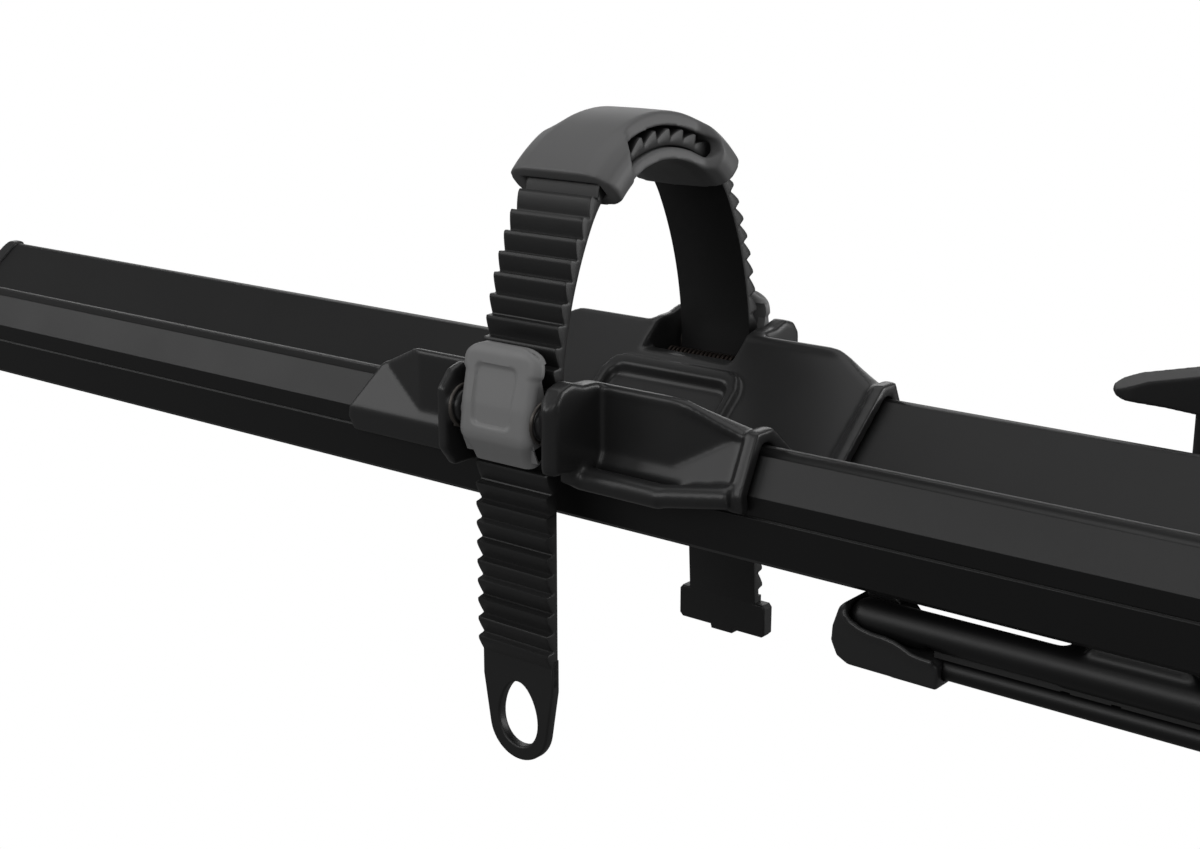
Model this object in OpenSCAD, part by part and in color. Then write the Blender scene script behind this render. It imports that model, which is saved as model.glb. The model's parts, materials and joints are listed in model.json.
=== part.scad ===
// Roof mounted bike carrier: a long wheel tray on two crossbar clamps, with a
// sliding wheel holder at each end and a folding frame holder between them.
// X runs along the tray towards the front, Z up. The origin is the centre of
// the rear crossbar seat, and everything is in millimetres.

/* [Wheel tray] */
// Length of the wheel tray
tray_l = 1450; // [1300:10:1600]
// Length of the tray behind the rear crossbar
tray_behind = 560; // [520:5:600]
// Width over the flank corners
tray_w = 76.4; // [74:0.1:80]
// Height of the tray section
tray_h = 31; // [29:0.5:36]
// Distance from a ridge centre out to the flank corner
flank_out = 7.5; // [6.5:0.1:8.5]
// Radius of the bead along each ridge
bead_r = 2; // [1.5:0.1:2.2]
// Height of the flank corner below the ridge
flank_h = 11.7; // [10:0.1:13]
// Depth of the wheel channel below the ridge
channel_d = 18; // [16:0.5:18.5]
// Width of the flat channel floor
floor_w = 15.4; // [12:0.2:17]
// Wall of the tray extrusion
wall = 2.2; // [1.8:0.1:2.4]
// Mouth of the bolt slot under the tray
slot_w = 8.4; // [7.5:0.1:10]
// Thickness of an end cap flange
cap_t = 6; // [4:0.5:10]

/* [Crossbar clamps] */
// Distance between the two crossbar seats
bar_spread = 650; // [600:5:700]
// Radius of a clamp frame tube
tube_r = 4.8; // [4:0.1:5]
// Distance of a clamp tube from the middle
tube_y = 30; // [27:0.5:31]
// Air between the tray bottom and a clamp tube
frame_gap = 3.2; // [2:0.1:5]
// Height by which a seat rubber stands proud of its tube
pad_proud = 0.35; // [0.2:0.05:1]
// Width of a seat rubber
pad_w = 5; // [3:0.5:7]
// Distance of the jaw hinge behind the seat centre
hinge_back = 109; // [104:1:120]
// Distance of the clamp bolt behind the seat centre
bolt_back = 59; // [56:0.5:66]
// Distance of the clamp bolt from the middle
bolt_y = 66; // [62:0.5:75]
// Radius of the clamp bolt
bolt_r = 4; // [3:0.5:5]
// Length of the seat in front of the seat centre
seat_front = 47; // [44:1:60]
// Radius of the lower jaw rod
rod_r = 2.9; // [2.4:0.1:3.5]
// Radius of the jaw hinge pin
hinge_r = 2.5; // [2:0.1:3]

/* [Clamp knob] */
// Half length of the knob wing
wing_l = 28.5; // [22:0.5:30]
// Width of the knob wing
wing_w = 12; // [10:0.5:16]
// Radius of the knob post
post_r = 6.5; // [6:0.1:8]
// Height of the wing underside at the post, over the ridge
wing_up = 2.6; // [0:0.1:6]
// Height of the wing at the post
wing_h = 11.8; // [9:0.1:14]
// Angle that the wing rests at
wing_turn = 30; // [0:5:90]

/* [Wheel holder] */
// Place of the rear holder behind the rear seat
rear_holder_back = 210; // [205:1:300]
// Place of the front holder before the front seat
front_holder_fwd = 140; // [135:1:150]
// Length of the holder behind its strap
holder_back = 75.8; // [72:0.2:80]
// Length of the holder in front of its strap
holder_front = 69.6; // [68:0.2:74]
// Wall of the holder sleeve
sleeve_t = 2.2; // [1.8:0.1:2.6]
// Height of the cradle walls over the ridge
cradle_h = 10.2; // [8:0.2:12]
// Distance of the ear front outside the strap
ear_out = 15.3; // [14.8:0.1:17]
// Distance of an ear inner face from the strap centre
ear_in = 16.5; // [16.3:0.1:18]
// Thickness of the front ears
ear_t = 5.5; // [4:0.1:7]
// Thickness of the rear ears
ear_thin = 3.2; // [2.6:0.1:4]
// Radius of the grab rail
rail_r = 3.4; // [2.8:0.1:3.6]

/* [Strap] */
// Width of the wheel strap
strap_w = 26; // [24:0.5:26]
// Thickness of the strap between its teeth
strap_t = 2.6; // [2:0.1:3]
// Height of the strap teeth
tooth_h = 2.2; // [1.5:0.1:2.2]
// Pitch of the strap teeth
tooth_p = 5.7; // [5:0.1:7]
// Distance of the strap's straight sides outside the tray corners
strap_out = 6; // [5.8:0.1:6.6]
// Radius that the strap's side arcs have over its top arc
flare = 70; // [60:1:80]
// Height of the arch centre over the ridge
arch_z = 33.4; // [32:0.2:36]
// Lowest point of the near tail under the ridge
near_tail = 70.6; // [66:0.2:80]
// Lowest point of the far tail under the ridge
far_tail = 81; // [76:0.2:90]
// Length of the pull tab
tab_l = 31; // [28:0.5:36]

/* [Strap pad] */
// Half width of the pad
pad_half = 18.4; // [17:0.2:20]
// Half width of the pad's roof at its waist
pad_waist = 11; // [10:0.1:12]
// Half length of the scoop in each side of the pad
scoop_y = 15.5; // [12:0.5:18]
// Angle from the pad centre to its end
pad_span = 47; // [42:1:48]
// Thickness of the pad over the teeth
pad_top_t = 4.6; // [3.5:0.1:5.5]
// Thickness of the pad under the strap
pad_low_t = 4; // [2.5:0.1:4.5]

/* [Buckle] */
// Distance of the lever pin outside the strap
pin_out = 9.3; // [9.2:0.1:10]
// Height of the lever pin over the ridge
pin_z = 1.6; // [1:0.1:3]
// Radius of the lever pin
pin_r = 2; // [1.5:0.1:2.2]
// Half width of the lever
lever_half = 13.9; // [13.4:0.1:14]
// Height of the lever top over the ridge
lever_top = 19.2; // [18:0.1:20]
// Wall of the lever shell
lever_t = 2.4; // [1.8:0.1:2.6]
// Mean radius of a lever spring
spring_r = 6.2; // [6:0.1:6.6]
// Wire of a lever spring
spring_wire = 1.1; // [0.8:0.05:1.15]
// Curls of a lever spring
spring_n = 1.25; // [0.75:0.25:1.25]
// Outer radius of a guide spring, which the strap runs over
guide_r = 3.5; // [3.3:0.05:3.6]
// Wire of a guide spring
guide_wire = 1; // [0.8:0.05:1.05]
// Curls of a guide spring
guide_n = 18; // [14:1:18]
// Radius of a guide spring's pin
guide_pin_r = 1.5; // [1.2:0.1:1.8]

/* [Frame holder] */
// Distance of the arm pivot behind the front seat
pivot_back = 10; // [0:1:16]
// Height of the arm pivot over the ridge
pivot_up = 12; // [12:0.5:14]
// Distance from the arm pivot to the clamped frame tube
arm_reach = 600; // [560:5:606]
// Width of the arm tube
arm_w = 36; // [30:1:38]
// Height of the arm tube
arm_h = 24; // [20:1:24]
// Wall of the arm tube
arm_wall = 2; // [1.5:0.1:3]
// Height of the arm tube's middle over the ridge
arm_up = 8; // [8:0.5:10]
// Radius of the bike tube that the jaws close on
bike_r = 20; // [17:0.5:22]
// Thickness of the jaw rubbers
rubber_t = 5; // [4:0.5:6]
// Thickness of the jaws
jaw_t = 6; // [4:0.5:8]
// Height of the jaws along the bike tube
jaw_h = 34; // [28:1:40]
// Radius of the torque knob
knob_r = 24; // [20:0.5:26]
// Height of the torque knob
knob_h = 22; // [16:0.5:26]

/* [Hidden] */
$fn = 48;

// Heights of the clamp stack, from the crossbar seat up to the ridges
tube_z = pad_proud + tube_r;
tray_z = pad_proud + 2 * tube_r + frame_gap;
ridge_z = tray_z + tray_h;
// Running clearances: a pin in its bore, and one moving piece beside another
fit = 0.05;
gap = 0.3;
// Clearance of a wheel holder all round the tray
slide_gap = 0.35;

// Colours of the materials
black_metal = [0.12, 0.12, 0.125];
black_plastic = [0.15, 0.15, 0.155];
black_rubber = [0.08, 0.08, 0.085];
grey_plastic = [0.42, 0.42, 0.43];
plated = [0.5, 0.45, 0.42];
brass = [0.75, 0.62, 0.35];
steel = [0.6, 0.6, 0.62];

// A round bar from p to q
module bar(p, q, r) {
  d = q - p;
  l = norm(d);
  translate(p) rotate([0, acos(d[2] / l), atan2(d[1], d[0])]) cylinder(h = l, r = r);
}

// A bar along each axis, from its middle
module x_bar(x0, x1, y, z, r) translate([x0, y, z]) rotate([0, 90, 0]) cylinder(h = x1 - x0, r = r);
module y_bar(y0, y1, x, z, r) translate([x, y0, z]) rotate([-90, 0, 0]) cylinder(h = y1 - y0, r = r);
module z_bar(z0, z1, x, y, r) translate([x, y, z0]) cylinder(h = z1 - z0, r = r);

// An outline in Y and Z drawn out along X, in X and Z along Y, and a box
module along_x(x0, x1, pts) translate([x0, 0, 0]) rotate([90, 0, 90]) linear_extrude(x1 - x0) polygon(pts);
module along_y(y0, y1, pts) translate([0, y1, 0]) rotate([90, 0, 0]) linear_extrude(y1 - y0) polygon(pts);
module box(a, b) translate(a) cube(b - a);

// A rectangle with round corners, about the middle
module round_rect(w, h, r) {
  square([w - 2 * r, h], center = true);
  square([w, h - 2 * r], center = true);
  for (x = [-1, 1], y = [-1, 1]) translate([x * (w / 2 - r), y * (h / 2 - r)]) circle(r);
}

// Both sides of the carrier: the child, and its mirror across the middle
module both_sides() {
  children();
  mirror([0, 1, 0]) children();
}

// The tray outline: half of it as plain corners, each moved out by d
ridge_y = tray_w / 2 - flank_out;
bead_out = bead_r + 0.6;
corner_y = tray_w / 2;
crest_in = ridge_y - 0.8 * bead_r;
crest_out = ridge_y + bead_out * 0.62;
slope_a = atan2(channel_d, crest_in - floor_w / 2);
flank_a = atan2(flank_h, corner_y - crest_out);
side_a = 8;
foot_y = corner_y - (tray_h - flank_h) * tan(side_a);
corner_n = [sin(flank_a) + cos(side_a), cos(flank_a) - sin(side_a)];
corner_k = 1 + cos(flank_a + side_a - 90);
function on_side(h) = corner_y - (h - flank_h) * tan(side_a);
function skin(d, low) = [
  [floor_w / 2 - d * tan(slope_a / 2), -channel_d + d],
  [crest_in - d * tan(slope_a / 2), d],
  [crest_out + d * tan(flank_a / 2), d],
  [corner_y + d * corner_n[0] / corner_k, -flank_h + d * corner_n[1] / corner_k],
  [on_side(low) + d * cos(side_a), -low - d * sin(side_a)]
];
function mirrored(pts) = [for (i = [len(pts) - 1 : -1 : 0]) [-pts[i][0], pts[i][1]]];
function lifted(pts, z) = [for (p = pts) [p[0], p[1] + z]];
function slope_z(y) = -channel_d + (y - floor_w / 2) * tan(slope_a);

groove_h = flank_h + 5.8;
groove_d = 0.5;
foot_chamfer = 1.4;
leg_in = 10.8;
function tray_half() = [
  [floor_w / 2, -channel_d],
  [crest_in, -0.2 * bead_r],
  [ridge_y, 0.1 - bead_r],
  [ridge_y + bead_r, -bead_r - 0.7],
  [crest_out + bead_r / tan(flank_a), -bead_r],
  [corner_y, -flank_h],
  [on_side(groove_h - groove_d), groove_d - groove_h],
  [on_side(groove_h) - groove_d, -groove_h],
  [on_side(groove_h + groove_d), -groove_h - groove_d],
  [on_side(tray_h - foot_chamfer), foot_chamfer - tray_h],
  [foot_y - foot_chamfer, -tray_h]
];
function side_cavity(c) = [
  [leg_in + wall + c, slope_z(leg_in + wall + c) - wall / cos(slope_a) - c],
  [ridge_y - 1, slope_z(ridge_y - 1) - wall / cos(slope_a) - c],
  [ridge_y + 1.4 - c, -flank_h + (corner_y - ridge_y - 1.4) * tan(flank_a) - wall / cos(flank_a) - c],
  [corner_y - wall - c, -flank_h - c / 2],
  [on_side(tray_h - wall) - wall - c, wall + c - tray_h],
  [leg_in + wall + c, wall + c - tray_h]
];

tray_x0 = -tray_behind;
tray_x1 = tray_x0 + tray_l;
base_screw_x = [bar_spread - pivot_back - 25, bar_spread - pivot_back + 35];
module wheel_tray() color(black_metal) difference() {
  union() {
    along_x(tray_x0, tray_x1, lifted(concat(tray_half(), mirrored(tray_half())), ridge_z));
    for (s = [-1, 1]) x_bar(tray_x0, tray_x1, s * ridge_y, ridge_z - bead_r, bead_r);
  }
  both_sides() along_x(tray_x0 - 1, tray_x1 + 1, lifted(side_cavity(0), ridge_z));
  box([tray_x0 - 1, -leg_in, tray_z + wall], [tray_x1 + 1, leg_in, ridge_z - channel_d - wall]);
  box([tray_x0 - 1, -slot_w / 2, tray_z - 1], [tray_x1 + 1, slot_w / 2, tray_z + wall + 1]);
  for (x = base_screw_x) z_bar(ridge_z - channel_d - wall - 1, ridge_z - channel_d + 1, x, 0, m6_r + 0.3);
}

// An end cap: a flange over the whole section with a plug in each side cavity
plug_l = 14;
module end_cap(x, s) color(black_plastic) translate([x, 0, 0]) mirror([s < 0 ? 1 : 0, 0, 0]) {
  difference() {
    along_x(0, cap_t, lifted(concat(skin(0.8, tray_h), mirrored(skin(0.8, tray_h))), ridge_z));
    along_y(-tray_w, tray_w, [[cap_t - 2, ridge_z + 2], [cap_t + 1, ridge_z + 2], [cap_t + 1, ridge_z - 3]]);
    along_y(-tray_w, tray_w, [[cap_t - 2, tray_z - 2], [cap_t + 1, tray_z - 2], [cap_t + 1, tray_z + 3]]);
  }
  both_sides() along_x(-plug_l, 0, lifted(side_cavity(gap), ridge_z));
}
module rear_end_cap() end_cap(tray_x0, -1);
module front_end_cap() end_cap(tray_x1, 1);

// Crossbar clamp, drawn about its seat centre
m6_r = 3;
hinge_x = -hinge_back;
bolt_x = -bolt_back;
cross_half = 7.5;
screw_x = [bolt_x + 9, seat_front];
// The raised flats of the tubes, from one slope to the other, and their slopes
flat_x = [bolt_x + 9.4, bolt_x + 32.5];
flat_slope = 5;
frame_top = 2 * tube_r + pad_proud;
lug_r = 10;
head_h = 3.3;
head_r = 5.4;
module clamp_frame() color(black_metal) difference() {
  union() {
    for (s = [-1, 1]) {
      x_bar(hinge_x, seat_front, s * tube_y, tube_z, tube_r);
      translate([hinge_x, s * tube_y, tube_z]) rotate([0, 0, 90]) sphere(tube_r);
      along_y(s * tube_y - tube_r, s * tube_y + tube_r, [
        [flat_x[0] - flat_slope, tube_z], [flat_x[0], tray_z],
        [flat_x[1], tray_z], [flat_x[1] + flat_slope, tube_z]
      ]);
    }
    for (x = screw_x) {
      box([x - cross_half, -tube_y, pad_proud], [x + cross_half, tube_y, frame_top]);
      box([x - cross_half, -leg_in, pad_proud], [x + cross_half, leg_in, tray_z]);
    }
    box([bolt_x - cross_half, 0, pad_proud], [screw_x[0] + cross_half, tube_y, frame_top]);
    box([bolt_x - cross_half, 0, pad_proud], [bolt_x + cross_half, bolt_y, frame_top]);
    z_bar(pad_proud, frame_top, bolt_x, bolt_y, lug_r);
  }
  z_bar(-1, frame_top + 1, bolt_x, bolt_y, bolt_r + 2 * fit);
  for (x = screw_x) {
    z_bar(-1, tray_z + 1, x, 0, m6_r + 0.3);
    z_bar(-1, pad_proud + head_h + 0.6, x, 0, head_r + gap);
  }
  y_bar(-pin_out_end, pin_out_end, hinge_x, tube_z, hinge_r);
  box([pad_x0 - 2.2, -tube_y - 12, -1], [pad_x0, tube_y + 12, 2.6]);
  for (s = [-1, 1])
    box([pad_x0, s * tube_y - pad_w / 2, -1], [seat_front + 9, s * tube_y + pad_w / 2, pad_t]);
}

// Rubbers let into the underside of the two tubes
pad_t = 2.4;
pad_x0 = hinge_x + 20;
notch_w = 2.4;
module seat_rubbers() color(black_rubber) for (s = [-1, 1]) difference() {
  box([pad_x0, s * tube_y - pad_w / 2, 0], [seat_front, s * tube_y + pad_w / 2, pad_t]);
  for (x = [bolt_x + 3, bolt_x + 15.5])
    box([x, s * tube_y - pad_w, -1], [x + notch_w, s * tube_y + pad_w, pad_proud]);
}

block_t = 6.5;
pin_end = tube_y - tube_r - block_t - 1.2;
pin_out_end = tube_y + tube_r / 2;
module hinge_pin() color(steel) for (s = [-1, 1]) {
  y_bar(s > 0 ? pin_end : -pin_out_end, s > 0 ? pin_out_end : -pin_end, hinge_x, tube_z, hinge_r);
  y_bar(s > 0 ? pin_end - 1.2 : -pin_end, s > 0 ? pin_end : -pin_end + 1.2, hinge_x, tube_z, hinge_r + 1.4);
}

// Screws up into nuts that lie on the lips of the bolt slot
nut_t = 3.8;
module clamp_screws() color(steel) for (x = screw_x) difference() {
  union() {
    z_bar(pad_proud + 0.6, pad_proud + 0.6 + head_h, x, 0, head_r);
    z_bar(pad_proud + 1, tray_z + wall + nut_t + 0.4, x, 0, m6_r);
  }
  z_bar(0, pad_proud + 2.2, x, 0, 2);
}
module slot_nuts() color(steel) for (x = screw_x) difference() {
  box([x - 10, -leg_in + 0.6, tray_z + wall], [x + 10, leg_in - 0.6, tray_z + wall + nut_t]);
  z_bar(tray_z, tray_z + wall + nut_t + 1, x, 0, m6_r + fit);
}

// The lower jaw: two rods joined by an upturned front bar and a bolt plate
rod_z = -gap - rod_r;
lip_x = seat_front + cross_half + gap + rod_r + 0.6;
lip_z = rod_z + 9;
plate_t = 4;
block_x1 = hinge_x + 22.7;
module clamp_jaw() color(black_metal) difference() {
  union() {
    for (s = [-1, 1]) {
      x_bar(block_x1 - 8, lip_x, s * tube_y, rod_z, rod_r);
      translate([lip_x, s * tube_y, rod_z]) sphere(rod_r);
      z_bar(rod_z, lip_z, lip_x, s * tube_y, rod_r);
      translate([lip_x, s * tube_y, lip_z]) sphere(rod_r);
    }
    y_bar(-tube_y, tube_y, lip_x, lip_z, rod_r);
    box([bolt_x - cross_half, -tube_y, rod_z - plate_t / 2],
      [bolt_x + cross_half, bolt_y, rod_z + plate_t / 2]);
    z_bar(rod_z - plate_t / 2, rod_z + plate_t / 2, bolt_x, bolt_y, cross_half);
  }
  for (x = [bolt_x, bolt_x + 3.6]) z_bar(rod_z - plate_t, rod_z + plate_t, x, bolt_y, bolt_r + 0.25);
  box([bolt_x, bolt_y - bolt_r - 0.25, rod_z - plate_t],
    [bolt_x + 3.6, bolt_y + bolt_r + 0.25, rod_z + plate_t]);
}

// Moulded blocks that hold the rods and turn on the hinge pin
function block_side() = [
  [block_x1, rod_z - rod_r - 1], [hinge_x - 2.5, rod_z - rod_r - 0.8], [hinge_x - 5.8, rod_z - 2],
  [hinge_x - 7.6, rod_z + 1.8], [hinge_x - 7.4, rod_z + 5.6], [hinge_x - 5.6, tube_z + 2.8],
  [hinge_x - 2.2, tube_z + 6.1], [hinge_x + 1.6, tube_z + 6.5], [hinge_x + 5, tube_z + 4.4],
  [hinge_x + 12, rod_z + 5], [block_x1, rod_z + 2.4]
];
module jaw_blocks() color(black_plastic) both_sides() difference() {
  along_y(-tube_y - tube_r - 1.2, -tube_y + tube_r + gap + block_t, block_side());
  x_bar(hinge_x, block_x1 + 1, -tube_y, tube_z, tube_r + gap);
  translate([hinge_x, -tube_y, tube_z]) sphere(tube_r + gap);
  box([hinge_x - 3.4, -tube_y - 2 * tube_r, tube_z], [block_x1 + 1, -tube_y + tube_r + gap, tube_z + 20]);
  along_y(-tube_y - 2 * tube_r, -tube_y, [
    [hinge_x, 2.8], [hinge_x + 10, 2.8], [hinge_x + 16, 0], [block_x1 + 1, 0],
    [block_x1 + 1, tube_z + 1], [hinge_x, tube_z + 1]
  ]);
  box([pad_x0 - gap, -tube_y - pad_w / 2 - gap, -gap], [block_x1 + 1, -tube_y + pad_w / 2 + gap, tube_z]);
  x_bar(block_x1 - 8, block_x1 + 1, -tube_y, rod_z, rod_r);
  y_bar(-pin_out_end - 1, 0, hinge_x, tube_z, hinge_r + fit);
}

// The clamp bolt slides in the lug; its round cross head is under the jaw
// plate, and stays clear of the plate as the jaw tilts
tee_r = 5;
tee_z = rod_z - plate_t / 2 - gap - tee_r;
module clamp_bolt() color(steel) {
  z_bar(tee_z, ridge_z - 0.5, bolt_x, bolt_y, bolt_r);
  y_bar(bolt_y - 7, bolt_y + 7, bolt_x, tee_z, tee_r);
}

// The wing knob on its post, with a threaded insert in the post's foot
post_z = frame_top + gap;
insert_l = 14;
insert_t = 1.4;
wing_z = ridge_z + wing_up;
module wing_side(s) along_y(-wing_w / 2, wing_w / 2, [
  [0, wing_z], [s * post_r, wing_z], [s * wing_l * 0.55, wing_z + 1.8], [s * (wing_l - 2), wing_z + 3.3],
  [s * (wing_l - 0.3), wing_z + 4], [s * wing_l, wing_z + 4.9], [s * (wing_l - 0.5), wing_z + wing_h - 5.8],
  [s * (wing_l - 3.4), wing_z + wing_h - 4.5], [s * (wing_l - 8), wing_z + wing_h - 3], [0, wing_z + wing_h]
]);
module clamp_knob() color(black_plastic) translate([bolt_x, bolt_y, 0]) rotate(wing_turn) difference() {
  union() {
    z_bar(post_z, wing_z + 1, 0, 0, post_r);
    intersection() {
      union() {
        wing_side(1);
        wing_side(-1);
      }
      translate([0, 0, wing_z - 1]) linear_extrude(wing_h + 2)
        round_rect(2 * wing_l, wing_w, wing_w / 2 - 1);
    }
    z_bar(wing_z, wing_z + wing_h - 1, 0, 0, post_r + 1.2);
  }
  z_bar(post_z - 1, post_z + insert_l, 0, 0, bolt_r + fit + insert_t);
  z_bar(post_z, ridge_z + 2, 0, 0, bolt_r + gap);
}
module knob_insert() color(brass) difference() {
  z_bar(post_z, post_z + insert_l, bolt_x, bolt_y, bolt_r + fit + insert_t);
  z_bar(post_z - 1, post_z + insert_l + 1, bolt_x, bolt_y, bolt_r + fit);
}

// Wheel holder, drawn about its strap centre with Z from the ridge top
lower_edge = 18.5;
rib_x = holder_front - 4;
rib_up = 1.6;
sleeve_d = slide_gap + sleeve_t;
outer_d = skin(sleeve_d, lower_edge);
// The strap, the ears and the lever pins stand out from the tray corner
mid_y = corner_y + strap_out;
ear_y = mid_y + ear_out;
pin_y = mid_y + pin_out;
wall_in = outer_d[1];
wall_y = outer_d[3][0] - 1.6;
cradle_y = wall_in[0] + (cradle_h - 0.6 - wall_in[1]) / tan(slope_a);
function ring(d0, d1, low) = concat(skin(d1, low), [for (i = [4 : -1 : 0]) skin(d0, low)[i]]);
module sleeve(x0, x1, d1, low) {
  both_sides() along_x(x0, x1, ring(slide_gap, d1, low));
  along_x(x0, x1, [
    [-floor_w / 2, slide_gap - channel_d], [floor_w / 2, slide_gap - channel_d],
    [floor_w / 2, d1 - channel_d], [-floor_w / 2, d1 - channel_d]
  ]);
}
rear_cut = 9.5;
module holder_side_view() along_y(-80, 80, [
  [-holder_back + rear_cut, 30], [-holder_back + rear_cut, 3], [-holder_back + 0.4, -flank_h],
  [-holder_back, -flank_h - 3], [-holder_back + 2, -lower_edge - 1], [-16, -lower_edge - 1],
  [16, -16.6], [holder_front, -16.6], [holder_front, 30]
]);
// One cradle wall, from an ear out to the end of the holder
wall_flat = 46;
module cradle_wall(s, reach) intersection() {
  along_x(s > 0 ? ear_in : -reach, s > 0 ? reach : -ear_in, [
    wall_in, [cradle_y, cradle_h - 0.6], [cradle_y + 0.8, cradle_h], [wall_y - 0.8, cradle_h],
    [wall_y, cradle_h - 0.8], [wall_y, -flank_h + 3.2], outer_d[2]
  ]);
  along_y(0, 80, [
    [s * ear_in, -30], [s * ear_in, cradle_h + 1], [s * wall_flat, cradle_h + 1],
    [s * (reach - 11), cradle_h - 4], [s * (reach - 2), wall_in[1] - 0.2], [s * reach, -30]
  ]);
  translate([0, 0, -30]) linear_extrude(60) polygon([
    [s * ear_in, 0], [s * ear_in, wall_y], [s * wall_flat, wall_y], [s * (reach - 4), outer_d[2][0]],
    [s * reach, outer_d[2][0]], [s * reach, 0]
  ]);
}
sleeve_mid = skin(slide_gap + sleeve_t / 2, lower_edge);
module ear(x0, x1) along_x(x0, x1, [
  sleeve_mid[3], [ear_y - 15, -15.7], [ear_y - 4.3, -15.7], [ear_y, -10.2], [ear_y, 7],
  [ear_y - 4.3, 11.8], [ear_y - 8.5, 13], [ear_y - 14, 11.3], [wall_y, 11],
  [cradle_y, cradle_h - 0.4], [sleeve_mid[2][0], wall_in[1]], sleeve_mid[2]
]);
// The spring's rings are straight between their points, so its bore is narrower
boss_r = spring_r * cos(22.5) - spring_wire / 2 - gap;
module spring_boss(s) x_bar(s > 0 ? coil_x - gap : -ear_in - 0.5, s > 0 ? ear_in + 0.5 : gap - coil_x,
  pin_y, pin_z, boss_r);
frame_half = 25.3;
frame_rim = 3.2;
module floor_slab(d0, d1) both_sides() along_x(-40, 40, concat(
  [[-0.1, d1 - channel_d]], [for (i = [0, 1]) skin(d1, 0)[i]], [for (i = [1, 0]) skin(d0, 0)[i]],
  [[-0.1, d0 - channel_d]]
));
module grab_rail() {
  a = [ear_in + ear_t / 2, wall_y + 7.2, -15.2 + rail_r * 0.3];
  b = [wall_flat, wall_y + 6.4, -14.6];
  c = [rib_x + 1, wall_y + 2.6, -12];
  bar(a, b + 1.5 * (b - a) / norm(b - a), rail_r);
  bar(b - 1.5 * (c - b) / norm(c - b), c, rail_r - 0.25);
}
guide_y = mid_y - guide_r - 0.5;
// The pins end inside the front ears
blind_x = ear_in + ear_t - 1.4;
guide_z = -1.5;
module saddle() color(black_plastic) difference() {
  union() {
    intersection() {
      sleeve(-holder_back, holder_front, sleeve_d, lower_edge);
      holder_side_view();
    }
    intersection() {
      sleeve(rib_x, holder_front, sleeve_d + rib_up, 15.6);
      holder_side_view();
    }
    both_sides() {
      cradle_wall(1, holder_front - 1);
      cradle_wall(-1, holder_back - rear_cut + 2);
      ear(ear_in, ear_in + ear_t);
      ear(-ear_in - ear_thin, -ear_in);
      grab_rail();
      for (s = [-1, 1]) spring_boss(s);
    }
    intersection() {
      floor_slab(sleeve_d - 0.5, sleeve_d + 1.8);
      translate([0, 0, -40]) linear_extrude(60) difference() {
        round_rect(2 * frame_half, 2 * frame_half - 1, 6);
        round_rect(2 * (frame_half - frame_rim), 2 * (frame_half - frame_rim) - 1, 4);
      }
    }
  }
  intersection() {
    floor_slab(sleeve_d - 1.1, sleeve_d + 1);
    translate([0, 0, -40]) linear_extrude(60)
      round_rect(2 * (frame_half - frame_rim), 2 * (frame_half - frame_rim) - 1, 4);
  }
  both_sides() {
    x_bar(-40, blind_x, pin_y, pin_z, pin_r);
    x_bar(-ear_in - ear_thin, blind_x, guide_y, guide_z, guide_pin_r);
  }
}

// The strap's inner line, from the far end over the arch to the near end:
// two tight arcs on top, two wide arcs at the sides, a step out, and the tails
top_a = 62;
arch_r = mid_y - flare * (1 - sin(top_a));
side_r = arch_r + flare;
side_len = side_r * (90 - top_a) * PI / 180;
top_len = arch_r * top_a * PI / 180;
mid_z = arch_z - flare * cos(top_a);
step_out = 2.6;
step_len = 21;
tail_z = mid_z - step_len;
far_lean = 3.4;
// Place and outward direction at a length u from the top, on one side
function smooth(t) = t * t * (3 - 2 * t);
function strap_at(u, lean) =
  u < top_len ? [arch_r * sin(u / top_len * top_a), arch_z + arch_r * cos(u / top_len * top_a)] :
  u < top_len + side_len ? let (a = top_a + (u - top_len) * 180 / PI / side_r)
    [mid_y - side_r + side_r * sin(a), mid_z + side_r * cos(a)] :
  u < top_len + side_len + step_len ? let (t = u - top_len - side_len)
    [mid_y + step_out * smooth(t / step_len), mid_z - t] :
  let (t = u - top_len - side_len - step_len) [mid_y + step_out + t * tan(lean), tail_z - t];
function strap_point(s, h, lean) =
  let (
    u = abs(s),
    p = strap_at(u, lean),
    q = strap_at(u + 0.05, lean),
    d = (q - p) / norm(q - p),
    m = p + h * [-d[1], d[0]]
  ) [(s < 0 ? 1 : -1) * m[0], m[1]];
catch_z = -8.5;
catch_s = top_len + side_len + mid_z - catch_z;
near_len = top_len + side_len + near_tail + mid_z;
far_len = top_len + side_len + far_tail + mid_z;
tooth_first = -floor((catch_s + far_len - 2) / tooth_p);
tooth_last = floor((near_len - catch_s) / tooth_p);
function lean_of(s) = s < 0 ? far_lean : 0;
function inner_line() = [
  for (i = [0 : 80]) let (s = near_len - (near_len + far_len) * i / 80) strap_point(s, 0, lean_of(s))
];
function toothed_line() = [
  for (n = [tooth_first : tooth_last - 1]) let (s0 = catch_s + n * tooth_p) for (q = [
    [0, 0], [0.5, 0.92], [1.1, 1], [2.0, 0.95], [4.9, 0.15]
  ]) strap_point(s0 + q[0], strap_t + tooth_h * q[1], lean_of(s0))
];
function plain_line() = [
  for (i = [0 : 80]) let (s = (near_len + far_len) * i / 80 - far_len) strap_point(s, strap_t, lean_of(s))
];
tooth_edge = 0.5;
tab_t = 2.4;
tee_half = 16.8;
tee_h = 11;
tab_end_r = 10.2;
tab_y = -strap_point(near_len, 0, 0)[0];
tee_y = strap_point(-far_len, 0, far_lean)[0];
hole_top = 10.5;
function tab_hole() = [
  for (a = [0 : 15 : 345]) [7 * cos(a) * (1 - 0.16 * sin(a)), 14 - near_tail - tab_l + 9.8 * sin(a)]
];
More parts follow.
